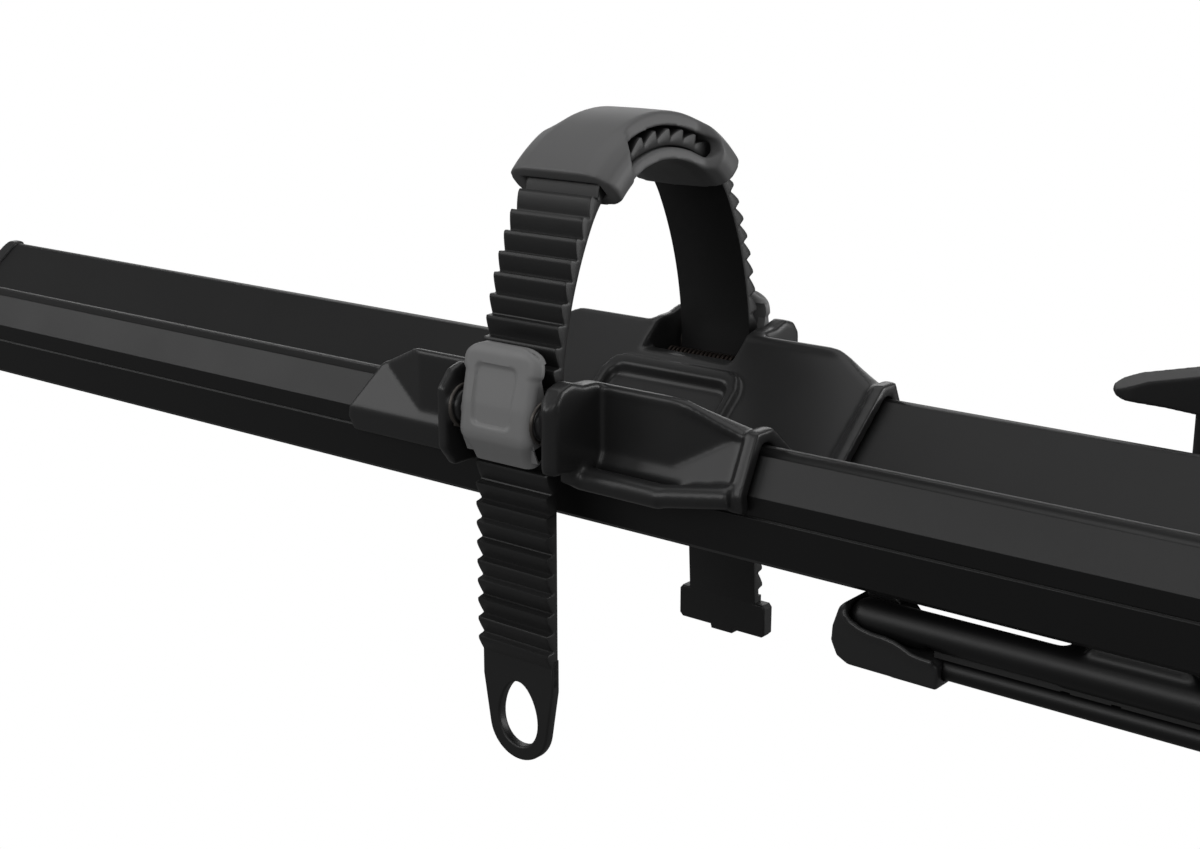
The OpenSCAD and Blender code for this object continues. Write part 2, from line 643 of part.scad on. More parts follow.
function tab_line() = concat(
  [[-strap_w / 2, -near_tail + 2], [-strap_w / 2, -near_tail - 8]],
  [for (a = [195 : 15 : 345]) [tab_end_r * cos(a), -near_tail - tab_l + tab_end_r + tab_end_r * sin(a)]],
  [[strap_w / 2, -near_tail - 8], [strap_w / 2, -near_tail + 2]]
);
module strap() color(black_rubber) {
  along_x(-strap_w / 2 + tooth_edge, strap_w / 2 - tooth_edge, concat(inner_line(), toothed_line()));
  along_x(-strap_w / 2, strap_w / 2, concat(inner_line(), plain_line()));
  translate([0, -tab_y, 0]) rotate([90, 0, 0]) linear_extrude(tab_t) difference() {
    polygon(tab_line());
    polygon(tab_hole());
  }
  box([-tee_half, tee_y, -far_tail - tee_h], [tee_half, tee_y + strap_t + tooth_h, 2 - far_tail]);
  box([-4, tee_y, -far_tail - tee_h - 1.4], [4, tee_y + strap_t, -far_tail - tee_h]);
}

// The pad: a curved sleeve round the top of the strap, with a window each side
pad_in = arch_r - gap;
pad_tooth = arch_r + strap_t + tooth_h + gap;
pad_out = pad_tooth + pad_top_t;
window_a = 30;
// The scoops lean, so that the lip under the window is wider than the roof
scoop_lean = 13.8;
module scoop(s) translate([s * pad_waist, 0, arch_z + pad_out]) rotate([0, -s * scoop_lean, 0])
  translate([0, 0, -30]) linear_extrude(36) polygon([
    [0, -scoop_y], [0, scoop_y], [s * 1.2, scoop_y + 2.4], [s * 12, scoop_y + 13], [s * 30, scoop_y + 13],
    [s * 30, -scoop_y - 13], [s * 12, -scoop_y - 13], [s * 1.2, -scoop_y - 2.4]
  ]);
module arch_part(a, pts) translate([0, 0, arch_z]) rotate([0, -90, 0]) rotate(-a)
  rotate_extrude(angle = 2 * a, $fn = 96) polygon(pts);
module strap_pad() color(grey_plastic) difference() {
  arch_part(pad_span, [
    [pad_in - pad_low_t, -pad_half], [pad_out - 3.4, -pad_half], [pad_out, 4.5 - pad_half],
    [pad_out, pad_half - 4.5], [pad_out - 3.4, pad_half], [pad_in - pad_low_t, pad_half]
  ]);
  arch_part(pad_span + 1, [
    [pad_in, -strap_w / 2 - gap], [pad_tooth, -strap_w / 2 - gap],
    [pad_tooth, strap_w / 2 + gap], [pad_in, strap_w / 2 + gap]
  ]);
  for (s = [-1, 1]) scoop(s);
  arch_part(window_a, [
    [pad_in + 0.3, -pad_half - 1], [pad_tooth - 0.2, -pad_half - 1],
    [pad_tooth - 0.2, pad_half + 1], [pad_in + 0.3, pad_half + 1]
  ]);
}

// A buckle lever on the far side; bite is how far its tooth stands in the
// strap, over the ledge of a strap tooth
cheek_x = [10.2, 12.8];
tip_y = ear_y - 1.5;
pawl_z = strap_point(catch_s, strap_t + tooth_h, 0)[1] + gap;
module lever(bite) color(grey_plastic) difference() {
  union() {
    along_x(-lever_half, lever_half, [
      [tip_y - 7.5, lever_top - 1.9], [tip_y - 6.4, lever_top], [tip_y - 4.4, lever_top - 0.3],
      [tip_y - 3.4, lever_top - 2.8], [tip_y, -4], [tip_y - 3.4, -12.2], [tip_y - 5.6, -12.2],
      [tip_y - 2.5, -4.2], [tip_y - 2.5 - 2.6, lever_top - 5]
    ]);
    for (s = [-1, 1]) along_x(s > 0 ? cheek_x[0] : -cheek_x[1], s > 0 ? cheek_x[1] : -cheek_x[0], [
      [pin_y - 3.3, pin_z - 1.6], [pin_y - 2.6, pin_z + 2.6], [tip_y - 5.4, lever_top - 4], [tip_y - 1.6, 0],
      [tip_y - 2, -5], [tip_y - 4.4, -10.8], [pin_y - 1.6, catch_z + 1]
    ]);
    for (s = [-1, 1]) x_bar(s > 0 ? cheek_x[0] : -cheek_x[1], s > 0 ? cheek_x[1] : -cheek_x[0],
      pin_y, pin_z, pin_r + 1.4);
    along_x(-cheek_x[1], cheek_x[1], [
      [tip_y - 2, -6], [tip_y - 3.8, -10.4], [pin_y - 2.4, pawl_z], [catch_y - bite, pawl_z],
      [catch_y - bite, pawl_z + 0.8], [pin_y - 2, catch_z + 3.4]
    ]);
  }
  x_bar(-30, 30, pin_y, pin_z, pin_r + fit);
  for (s = [0, 1]) mirror([s, 0, 0])
    box([lever_half - 0.9, 0, -30], [30, 80, lever_top - 5.4]);
  for (s = [-1, 1]) translate([s * lever_half, 0, lever_top]) rotate([90, 0, 0])
    translate([0, 0, -80]) cylinder(h = 80, r = 3.2, $fn = 4);
  for (s = [-1, 1]) along_y(0, 80, [[s * 11, -12.6], [s * 15, -12.6], [s * 15, -3.6], [s * 14, -3.6]]);
}
catch_y = mid_y + step_out * smooth((mid_z - catch_z) / step_len) + strap_t + tooth_h + gap;

// A spring along X: a straight end, the curls, a straight end. It is one
// tube of rings, given as c = [start, mean radius, wire, pitch, curls, first angle]
function coil(c, a) = [c[0] + c[2] / 2 + c[3] * (a - c[5]) / 360, c[1] * cos(a), c[1] * sin(a)];
function coil_dir(c, a) =
  let (v = [c[3] / 360, -c[1] * sin(a) * PI / 180, c[1] * cos(a) * PI / 180]) v / norm(v);
function coil_path(c, leg0, leg1) = let (n = round(8 * c[4]), a1 = c[5] + 360 * c[4]) concat(
  [[coil(c, c[5]) - leg0 * coil_dir(c, c[5]), c[5]]],
  [for (i = [0 : n]) let (a = c[5] + (a1 - c[5]) * i / n) [coil(c, a), a]],
  [[coil(c, a1) + leg1 * coil_dir(c, a1), a1]]
);
function coil_ring(c, at) =
  let (r = [0, cos(at[1]), sin(at[1])], b = cross(coil_dir(c, at[1]), r))
  [for (j = [0 : 5]) at[0] + c[2] / 2 * (r * cos(60 * j) + b * sin(60 * j))];
module spring(c, leg0, leg1) {
  path = coil_path(c, leg0, leg1);
  rings = len(path);
  polyhedron(
    points = [for (k = [0 : rings - 1]) each coil_ring(c, path[k])],
    faces = concat(
      [for (j = [1 : 4]) [0, j + 1, j]],
      [for (k = [0 : rings - 2], j = [0 : 5]) let (n = (j + 1) % 6) each [
        [6 * k + j, 6 * k + n, 6 * k + 6 + n], [6 * k + j, 6 * k + 6 + n, 6 * k + 6 + j]
      ]],
      [for (j = [1 : 4]) let (e = 6 * (rings - 1)) [e, e + j, e + j + 1]]
    )
  );
}
// Least gap of a spring to itself, on points more than half a curl apart
function coil_gap(c, path) = min([
  for (i = [1 : len(path) - 2], j = [1 : len(path) - 2]) if (j > i + 4) norm(path[i][0] - path[j][0])
]) - c[2];

// Torsion springs beside a lever
spring_pitch = spring_wire + 0.45;
coil_x = ear_in - 0.15 - spring_wire - spring_n * spring_pitch;
lever_coil = [coil_x, spring_r, spring_wire, spring_pitch, spring_n, -160];
echo(lever_spring_gap = coil_gap(lever_coil, coil_path(lever_coil, 5, spring_wire)));
module lever_springs() color(plated) both_sides() translate([0, pin_y, pin_z]) {
  spring(lever_coil, 5, spring_wire);
  mirror([1, 0, 0]) spring(lever_coil, 5, spring_wire);
}

// Close springs on the guide pins
guide_half = 14.4;
guide_pitch = (2 * guide_half - guide_wire) / guide_n;
guide_coil = [-guide_half, guide_r - guide_wire / 2, guide_wire, guide_pitch, guide_n, 0];
echo(guide_spring_gap = coil_gap(guide_coil, coil_path(guide_coil, 1, 1)));
module guide_springs() color(plated) both_sides() translate([0, guide_y, guide_z])
  spring(guide_coil, guide_wire, guide_wire);
module lever_pins() color(steel) both_sides() {
  x_bar(-ear_in - ear_thin, blind_x, pin_y, pin_z, pin_r);
  x_bar(-ear_in - ear_thin - 1.1, -ear_in - ear_thin, pin_y, pin_z, pin_r + 1);
  x_bar(-ear_in - ear_thin, blind_x, guide_y, guide_z, guide_pin_r);
}

// Frame holder, in the carrier's own frame
pivot_x = bar_spread - pivot_back;
pivot_z = ridge_z + pivot_up;
arm_z = ridge_z + arm_up;
bike_x = pivot_x - arm_reach;
jaw_pivot_x = bike_x + bike_r + rubber_t + jaw_t + 4;
jaw_pivot_y = 12;
jaw_z0 = ridge_z + 0.8;
jaw_z1 = jaw_z0 + jaw_h;
head_x1 = jaw_pivot_x + 45;
foot_x0 = pivot_x - 96;
eye_r = 13;
ear_gap = arm_w / 2 + gap;
clevis_t = 8;
base_x0 = pivot_x - 35;
base_x1 = pivot_x + 50;
keel_top = -8;
function keel() = [
  [-floor_w / 2 + 0.3, -channel_d], [floor_w / 2 - 0.3, -channel_d],
  [floor_w / 2 + (keel_top + channel_d) / tan(slope_a) - 0.4, keel_top],
  [-floor_w / 2 - (keel_top + channel_d) / tan(slope_a) + 0.4, keel_top]
];
function cheek() = [
  [ear_gap, keel_top], [ear_gap, 3.4], [ear_gap + clevis_t, 3.4], [crest_out + 1.2, 3],
  [crest_out + 2, 0.6], [crest_out + 1.2, 0], [crest_in - 0.4, 0], [ear_gap, slope_z(ear_gap) + 0.5]
];
base_low = min(slope_z(ear_gap) + 0.5, keel_top);
module arm_base() color(black_metal) difference() {
  union() {
    along_x(base_x0, base_x1, lifted(keel(), ridge_z));
    both_sides() {
      along_x(base_x0, base_x1, lifted(cheek(), ridge_z));
      along_y(ear_gap, ear_gap + clevis_t, [
        [base_x0, ridge_z + 2], [base_x1, ridge_z + 2], [base_x1, ridge_z + 10.5],
        [pivot_x + 13, pivot_z + 6], [pivot_x + 8, pivot_z + eye_r - 1],
        [pivot_x - 8, pivot_z + eye_r - 1], [pivot_x - 13, pivot_z + 6],
        [base_x0, ridge_z + 6]
      ]);
    }
    box([pivot_x + eye_r + 4, -ear_gap - 1, ridge_z + keel_top - 0.3],
      [base_x1, ear_gap + 1, ridge_z + 10.5]);
  }
  y_bar(-50, 50, pivot_x, pivot_z, pivot_r);
  y_bar(-ear_gap - clevis_t - 9, -ear_gap - clevis_t + button_l - 2, button_x, button_z, button_r + fit);
  for (x = base_screw_x) {
    z_bar(ridge_z - channel_d - 1, ridge_z + 30, x, 0, m6_r + 0.3);
    z_bar(ridge_z - channel_d + 4, ridge_z + 30, x, 0, head_r + gap);
  }
}
pivot_r = 5;
module arm_hinge_pin() color(steel) {
  y_bar(-ear_gap - clevis_t, ear_gap + clevis_t, pivot_x, pivot_z, pivot_r);
  for (s = [-1, 1]) y_bar(s > 0 ? ear_gap + clevis_t : -ear_gap - clevis_t - 2.5,
    s > 0 ? ear_gap + clevis_t + 2.5 : -ear_gap - clevis_t, pivot_x, pivot_z, pivot_r + 3);
}
module arm_base_screws() color(steel) for (x = base_screw_x) {
  z_bar(ridge_z - channel_d + 4, ridge_z - channel_d + 4 + head_h, x, 0, head_r);
  z_bar(ridge_z - channel_d - wall - nut_t, ridge_z - channel_d + 5, x, 0, m6_r);
}
module arm_base_nuts() color(steel) for (x = base_screw_x) difference() {
  box([x - 8, -leg_in + 0.6, ridge_z - channel_d - wall - nut_t],
    [x + 8, leg_in - 0.6, ridge_z - channel_d - wall]);
  z_bar(ridge_z - channel_d - wall - 10, ridge_z - channel_d, x, 0, m6_r + fit);
}

// The button that frees the fold: it presses in from the near side
button_r = 4.2;
button_l = 12;
button_x = pivot_x + 36;
button_z = ridge_z + 5.2;
button_out = 6;
module fold_button() color(grey_plastic) {
  y_bar(-ear_gap - clevis_t - button_out, -ear_gap - clevis_t + button_l - button_out - 1, button_x,
    button_z, button_r);
  y_bar(-ear_gap - clevis_t - button_out - 1, -ear_gap - clevis_t - button_out, button_x,
    button_z, button_r - 0.8);
}

module arm_section(w, h, r) rotate([90, 0, 90]) linear_extrude(1) round_rect(w, h, r);
arm_corner = 7;
module tube_part(x0, x1, inset) translate([x0, 0, arm_z]) rotate([90, 0, 90]) linear_extrude(x1 - x0)
  round_rect(arm_w - 2 * inset, arm_h - 2 * inset, arm_corner - inset);
spigot = 18;
module arm_tube() color(black_metal) difference() {
  tube_part(head_x1, foot_x0, 0);
  tube_part(head_x1 - 1, foot_x0 + 1, arm_wall);
}

// The foot: a block with the eye of the fold hinge, a spigot in the tube and
// the seat of the torque knob
knob_in = 31;
knob_x = foot_x0 + knob_in;
foot_top = arm_z + arm_h / 2 + 2;
module arm_foot() color(black_metal) difference() {
  union() {
    tube_part(foot_x0 - spigot, foot_x0, arm_wall + 0.1);
    tube_part(foot_x0, pivot_x - 14, 0);
    y_bar(-arm_w / 2, arm_w / 2, pivot_x, pivot_z, eye_r);
    along_y(-arm_w / 2, arm_w / 2, [
      [pivot_x - 20, arm_z - arm_h / 2 + 4], [pivot_x - 4, arm_z - arm_h / 2 + 4],
      [pivot_x, pivot_z + eye_r], [pivot_x - 12, pivot_z + eye_r], [pivot_x - 20, arm_z + arm_h / 2]
    ]);
    z_bar(arm_z, foot_top, knob_x, 0, arm_w / 2 - 1);
  }
  y_bar(-50, 50, pivot_x, pivot_z, pivot_r + fit);
  x_bar(foot_x0 - spigot - 1, knob_x + 8, 0, arm_z, rod4_r + gap);
  z_bar(arm_z - 4, foot_top + 1, knob_x, 0, stem_r + fit);
}
stem_r = 6;
module torque_knob() color(black_plastic) difference() {
  union() {
    z_bar(foot_top + gap, foot_top + gap + 5, knob_x, 0, knob_r - 4);
    difference() {
      z_bar(foot_top + gap + 5, foot_top + gap + knob_h, knob_x, 0, knob_r);
      for (a = [0 : 45 : 315]) translate([knob_x, 0, 0]) rotate(a + 22.5)
        z_bar(foot_top, foot_top + knob_h + 2, knob_r + 4.5, 0, 7);
    }
    z_bar(arm_z + rod4_r + 1, foot_top + gap + 1, knob_x, 0, stem_r);
  }
  z_bar(foot_top + knob_h - 9, foot_top + knob_h + 2, knob_x, 0, lock_r + fit);
}
lock_r = 6;
module lock_barrel() color(steel) difference() {
  z_bar(foot_top + knob_h - 9 + 0.1, foot_top + gap + knob_h + 0.8, knob_x, 0, lock_r);
  box([knob_x - 3.2, -0.6, foot_top + knob_h - 3], [knob_x + 3.2, 0.6, foot_top + knob_h + 3]);
}

// The head: a block at the end of the tube, with a fork for the jaw bosses
jaw_boss_r = 7;
jaw_pin_r = 3;
fork_z0 = jaw_z0 - 0.1;
module arm_head() color(black_metal) difference() {
  union() {
    tube_part(head_x1, head_x1 + spigot, arm_wall + 0.1);
    translate([0, 0, fork_z0]) linear_extrude(jaw_h + 0.2) polygon([
      [jaw_pivot_x - 7, -20], [jaw_pivot_x + 22, -20], [head_x1, -arm_w / 2],
      [head_x1, arm_w / 2], [jaw_pivot_x + 22, 20], [jaw_pivot_x - 7, 20]
    ]);
    tube_part(jaw_pivot_x + 20, head_x1, 0);
  }
  box([jaw_pivot_x - 9, -30, jaw_z0 + 6 - gap], [jaw_pivot_x + 9, 30, jaw_z1 - 6 + gap]);
  for (s = [-1, 1]) z_bar(0, 200, jaw_pivot_x, s * jaw_pivot_y, jaw_pin_r);
  x_bar(jaw_pivot_x, head_x1 + spigot + 1, 0, arm_z, rod4_r + gap);
  box([jaw_pivot_x + 8, -14, arm_z - 7.5], [jaw_pivot_x + 22.5, 14, arm_z + 7.5]);
}
module jaw_pins() color(steel) for (s = [-1, 1])
  z_bar(fork_z0 - 0.4, jaw_z1 + 0.5, jaw_pivot_x, s * jaw_pivot_y, jaw_pin_r);

// A jaw on the left side, and its rubber
claw_in = bike_r + rubber_t;
claw_out = claw_in + jaw_t;
claw_a0 = 26;
claw_a1 = 148;
module claw_ring(r0, r1, a0, a1, z0, z1) translate([bike_x, 0, z0]) rotate(a0)
  rotate_extrude(angle = a1 - a0, $fn = 96) translate([r0, 0]) square([r1 - r0, z1 - z0]);
module jaw_left() difference() {
  union() {
    claw_ring(claw_in, claw_out, claw_a0, claw_a1, jaw_z0 + 6, jaw_z1 - 6);
    z_bar(jaw_z0 + 6, jaw_z1 - 6, jaw_pivot_x, jaw_pivot_y, jaw_boss_r);
    translate([0, 0, jaw_z0 + 6]) linear_extrude(jaw_h - 12) polygon([
      [bike_x + claw_out * cos(claw_a0) - 4, claw_out * sin(claw_a0) - 3],
      [jaw_pivot_x - 2, jaw_pivot_y - 6.6], [jaw_pivot_x + 1, jaw_pivot_y + 6.8],
      [bike_x + (claw_out - 1) * cos(45), (claw_out - 1) * sin(45)],
      [bike_x + (claw_in + 1.5) * cos(36), (claw_in + 1.5) * sin(36)]
    ]);
  }
  z_bar(0, 200, jaw_pivot_x, jaw_pivot_y, jaw_pin_r + fit);
}
module rubber_left() difference() {
  claw_ring(bike_r, claw_in, 36, 146, jaw_z0 + 2, jaw_z1 - 2);
  for (a = [58 : 22 : 124]) translate([bike_x, 0, 0]) rotate(a)
    z_bar(jaw_z0 + 1, jaw_z1 - 1, bike_r - 0.8, 0, 1.6);
}
module left_jaw() color(black_metal) jaw_left();
module right_jaw() color(black_metal) mirror([0, 1, 0]) jaw_left();
module left_rubber() color(black_rubber) rubber_left();
module right_rubber() color(black_rubber) mirror([0, 1, 0]) rubber_left();

// The rod that the torque knob pulls, with a yoke behind the jaws
rod4_r = 4;
yoke_x = 17;
yoke_t = 4;
yoke_half = [12, 6];
module tension_rod() color(steel) {
  x_bar(jaw_pivot_x + yoke_x, knob_x - stem_r - 1, 0, arm_z, rod4_r);
  box([jaw_pivot_x + yoke_x, -yoke_half[0], arm_z - yoke_half[1]],
    [jaw_pivot_x + yoke_x + yoke_t, yoke_half[0], arm_z + yoke_half[1]]);
}

// Placed copies of the clamps and the wheel holders
module at_rear_seat() children();
module at_front_seat() translate([bar_spread, 0, 0]) children();
module at_rear_holder() translate([-rear_holder_back, 0, ridge_z]) children();
module at_front_holder() translate([bar_spread + front_holder_fwd, 0, ridge_z]) children();
module near_lever() mirror([0, 1, 0]) lever(tooth_h - 0.6);

wheel_tray();
rear_end_cap();
front_end_cap();
at_rear_seat() clamp_frame();  // rear_clamp_frame
at_rear_seat() seat_rubbers();  // rear_seat_rubbers
at_rear_seat() hinge_pin();  // rear_hinge_pin
at_rear_seat() clamp_screws();  // rear_clamp_screws
at_rear_seat() slot_nuts();  // rear_slot_nuts
at_rear_seat() clamp_jaw();  // rear_clamp_jaw
at_rear_seat() jaw_blocks();  // rear_jaw_blocks
at_rear_seat() clamp_bolt();  // rear_clamp_bolt
at_rear_seat() clamp_knob();  // rear_clamp_knob
at_rear_seat() knob_insert();  // rear_knob_insert
at_front_seat() clamp_frame();  // front_clamp_frame
at_front_seat() seat_rubbers();  // front_seat_rubbers
at_front_seat() hinge_pin();  // front_hinge_pin
at_front_seat() clamp_screws();  // front_clamp_screws
at_front_seat() slot_nuts();  // front_slot_nuts
at_front_seat() clamp_jaw();  // front_clamp_jaw
at_front_seat() jaw_blocks();  // front_jaw_blocks
at_front_seat() clamp_bolt();  // front_clamp_bolt
at_front_seat() clamp_knob();  // front_clamp_knob
at_front_seat() knob_insert();  // front_knob_insert
at_rear_holder() saddle();  // rear_saddle
at_rear_holder() strap();  // rear_strap
at_rear_holder() strap_pad();  // rear_strap_pad
at_rear_holder() near_lever();  // rear_near_lever
at_rear_holder() lever(0);  // rear_far_lever
at_rear_holder() lever_pins();  // rear_lever_pins
at_rear_holder() lever_springs();  // rear_lever_springs
at_rear_holder() guide_springs();  // rear_guide_springs
at_front_holder() saddle();  // front_saddle
at_front_holder() strap();  // front_strap
at_front_holder() strap_pad();  // front_strap_pad
at_front_holder() near_lever();  // front_near_lever
at_front_holder() lever(0);  // front_far_lever
at_front_holder() lever_pins();  // front_lever_pins
at_front_holder() lever_springs();  // front_lever_springs
at_front_holder() guide_springs();  // front_guide_springs
arm_base();
arm_base_screws();
arm_base_nuts();
arm_hinge_pin();
fold_button();
arm_tube();
arm_foot();
arm_head();
jaw_pins();
left_jaw();
right_jaw();
left_rubber();
right_rubber();
tension_rod();
torque_knob();
lock_barrel();
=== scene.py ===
"""Dresses the roof mounted bike carrier: moulded, coated and machined pieces over
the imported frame, with a plain pale studio and the photograph's view."""

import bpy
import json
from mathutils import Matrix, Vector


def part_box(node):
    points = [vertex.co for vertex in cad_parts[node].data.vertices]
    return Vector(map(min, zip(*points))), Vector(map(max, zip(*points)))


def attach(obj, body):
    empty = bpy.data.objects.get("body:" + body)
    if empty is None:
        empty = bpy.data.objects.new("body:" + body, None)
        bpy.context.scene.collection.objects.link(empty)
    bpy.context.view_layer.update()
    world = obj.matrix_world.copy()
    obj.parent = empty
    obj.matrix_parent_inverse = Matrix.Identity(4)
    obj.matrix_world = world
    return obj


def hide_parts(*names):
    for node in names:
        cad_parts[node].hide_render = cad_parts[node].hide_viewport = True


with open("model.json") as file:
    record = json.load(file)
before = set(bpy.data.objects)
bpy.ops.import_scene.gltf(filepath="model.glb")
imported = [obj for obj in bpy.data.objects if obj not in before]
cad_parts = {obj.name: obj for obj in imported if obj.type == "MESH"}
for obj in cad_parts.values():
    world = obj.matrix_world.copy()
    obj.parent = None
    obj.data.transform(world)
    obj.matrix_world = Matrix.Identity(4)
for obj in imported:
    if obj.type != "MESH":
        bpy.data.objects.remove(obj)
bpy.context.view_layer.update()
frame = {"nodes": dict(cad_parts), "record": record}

import json
import math

import bmesh
import bpy
from mathutils import Matrix, Vector

bl_info = {
    "name": "Bike Carrier Dresser",
    "version": (1, 0, 0),
    "blender": (4, 5, 0),
    "location": "View3D > Sidebar > Bike Carrier",
    "description": "Builds the finished pieces of a roof mounted bike carrier over its frame",
    "category": "Object",
}

MM = 0.001
NODES = frame["nodes"]
# Height of the tray's ridges over the crossbar seat, in millimetres
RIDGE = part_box("wheel_tray")[1].z / MM
# Strap centre of each wheel holder along the tray, in millimetres
HOLDERS = {
    side: (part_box(side + "_near_lever")[0].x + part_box(side + "_near_lever")[1].x) / 2 / MM
    for side in ("rear", "front")
}
# Crossbar seat of each clamp along the tray, in millimetres
SEATS = {
    "rear": 0.0,
    "front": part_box("front_clamp_bolt")[0].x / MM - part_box("rear_clamp_bolt")[0].x / MM,
}
WHITE = (1.0, 1.0, 1.0, 1.0)


# ---------------------------------------------------------------- settings


class CarrierSizes(bpy.types.PropertyGroup):
    """Sizes of the pieces that are modelled here and not in the frame"""

    tooth_height: bpy.props.FloatProperty(
        name="Strap Tooth Height", description="How far a strap tooth stands out",
        default=0.0022, min=0.001, max=0.0024, unit="LENGTH")
    tooth_pitch: bpy.props.FloatProperty(
        name="Strap Tooth Pitch", description="Distance from one strap tooth to the next",
        default=0.0057, min=0.004, max=0.008, unit="LENGTH")
    pad_round: bpy.props.FloatProperty(
        name="Pad Rounding", description="Voxel size that rounds the strap pad's edges",
        default=0.00042, min=0.0003, max=0.001, unit="LENGTH")
    saddle_round: bpy.props.FloatProperty(
        name="Saddle Rounding", description="Voxel size that rounds the saddle's edges",
        default=0.0006, min=0.0004, max=0.0012, unit="LENGTH")
    extrusion_edge: bpy.props.FloatProperty(
        name="Tray Edge", description="Width of the eased edges of the tray",
        default=0.00035, min=0.0001, max=0.001, unit="LENGTH")


class CarrierFinish(bpy.types.PropertyGroup):
    """Colours and gloss of the finishes"""

    tray_colour: bpy.props.FloatVectorProperty(
        name="Tray", description="Powder coat of the tray and the clamps",
        subtype="COLOR", size=3, min=0, max=1, default=(0.0052, 0.0052, 0.0054))
    plastic_colour: bpy.props.FloatVectorProperty(
        name="Black Plastic", description="Moulded saddle, knobs and end caps",
        subtype="COLOR", size=3, min=0, max=1, default=(0.021, 0.021, 0.0214))
    strap_colour: bpy.props.FloatVectorProperty(
        name="Strap", description="Rubbery plastic of the wheel straps",
        subtype="COLOR", size=3, min=0, max=1, default=(0.014, 0.014, 0.0142))
    pad_colour: bpy.props.FloatVectorProperty(
        name="Pad Grey", description="Grey plastic of the strap pads",
        subtype="COLOR", size=3, min=0, max=1, default=(0.14, 0.14, 0.141))
    lever_colour: bpy.props.FloatVectorProperty(
        name="Lever Grey", description="Grey plastic of the buckle levers",
        subtype="COLOR", size=3, min=0, max=1, default=(0.235, 0.235, 0.236))
    tray_roughness: bpy.props.FloatProperty(
        name="Tray Roughness", description="Roughness of the powder coat",
        subtype="FACTOR", default=0.42, min=0, max=1)
    plastic_roughness: bpy.props.FloatProperty(
        name="Plastic Roughness", description="Roughness of the black plastic",
        subtype="FACTOR", default=0.36, min=0, max=1)


class StudioSettings(bpy.types.PropertyGroup):
    """Light and view of the studio"""

    over_power: bpy.props.FloatProperty(
        name="Overhead Light", description="Power of the large light over the carrier",
        subtype="POWER", default=8.9, min=0, max=100)
    front_power: bpy.props.FloatProperty(
        name="Front Light", description="Power of the light before the near side",
        subtype="POWER", default=7.4, min=0, max=100)
    left_power: bpy.props.FloatProperty(
        name="Left Light", description="Power of the light at the left of the near side",
        subtype="POWER", default=6.2, min=0, max=100)
    right_power: bpy.props.FloatProperty(
        name="Right Light", description="Power of the light behind the carrier at its right",
        subtype="POWER", default=12.0, min=0, max=100)
    fill_power: bpy.props.FloatProperty(
        name="Fill Light", description="Power of the light at the right of the near side",
        subtype="POWER", default=4.0, min=0, max=100)
    back_power: bpy.props.FloatProperty(
        name="Back Light", description="Power of the light behind the far side, for bright edges",
        subtype="POWER", default=7.5, min=0, max=100)
    ambient: bpy.props.FloatProperty(
        name="Ambient", description="Strength of the light from all round",
        subtype="FACTOR", default=0.17, min=0, max=2)
    floor_glow: bpy.props.FloatProperty(
        name="Floor Glow", description="Strength of the light that the floor throws up",
        subtype="FACTOR", default=0.11, min=0, max=2)
    lens: bpy.props.FloatProperty(
        name="Focal Length", description="Focal length on a sensor 36 mm wide",
        unit="CAMERA", default=54.06, min=10, max=200)


# ---------------------------------------------------------------- materials


def new_group(name, inputs, outputs):
    """An empty shader node group with the named sockets."""
    group = bpy.data.node_groups.new(name, "ShaderNodeTree")
    for label, kind, default in inputs:
        socket = group.interface.new_socket(name=label, in_out="INPUT", socket_type=kind)
        if default is not None:
            socket.default_value = default
    for label, kind in outputs:
        group.interface.new_socket(name=label, in_out="OUTPUT", socket_type=kind)
    return group, group.nodes.new("NodeGroupInput"), group.nodes.new("NodeGroupOutput")


def moulded_grain_group():
    """Fine grain of a moulded or powder-coated skin, as a normal."""
    group, given, result = new_group(
        "Skin Grain",
        [("Scale", "NodeSocketFloat", 2500.0), ("Strength", "NodeSocketFloat", 0.1),
         ("Depth", "NodeSocketFloat", 0.0001)],
        [("Normal", "NodeSocketVector")])
    where = group.nodes.new("ShaderNodeTexCoord")
    noise = group.nodes.new("ShaderNodeTexNoise")
    noise.inputs["Detail"].default_value = 2.0
    bump = group.nodes.new("ShaderNodeBump")
    link = group.links.new
    link(where.outputs["Object"], noise.inputs["Vector"])
    link(given.outputs["Scale"], noise.inputs["Scale"])
    link(given.outputs["Strength"], bump.inputs["Strength"])
    link(given.outputs["Depth"], bump.inputs["Distance"])
    link(noise.outputs["Fac"], bump.inputs["Height"])
    link(bump.outputs["Normal"], result.inputs["Normal"])
    return group


def math_node(group, operation, second=None):
    """A Math node, with its second input set where one is given."""
    node = group.nodes.new("ShaderNodeMath")
    node.operation = operation
    if second is not None:
        node.inputs[1].default_value = second
    return node


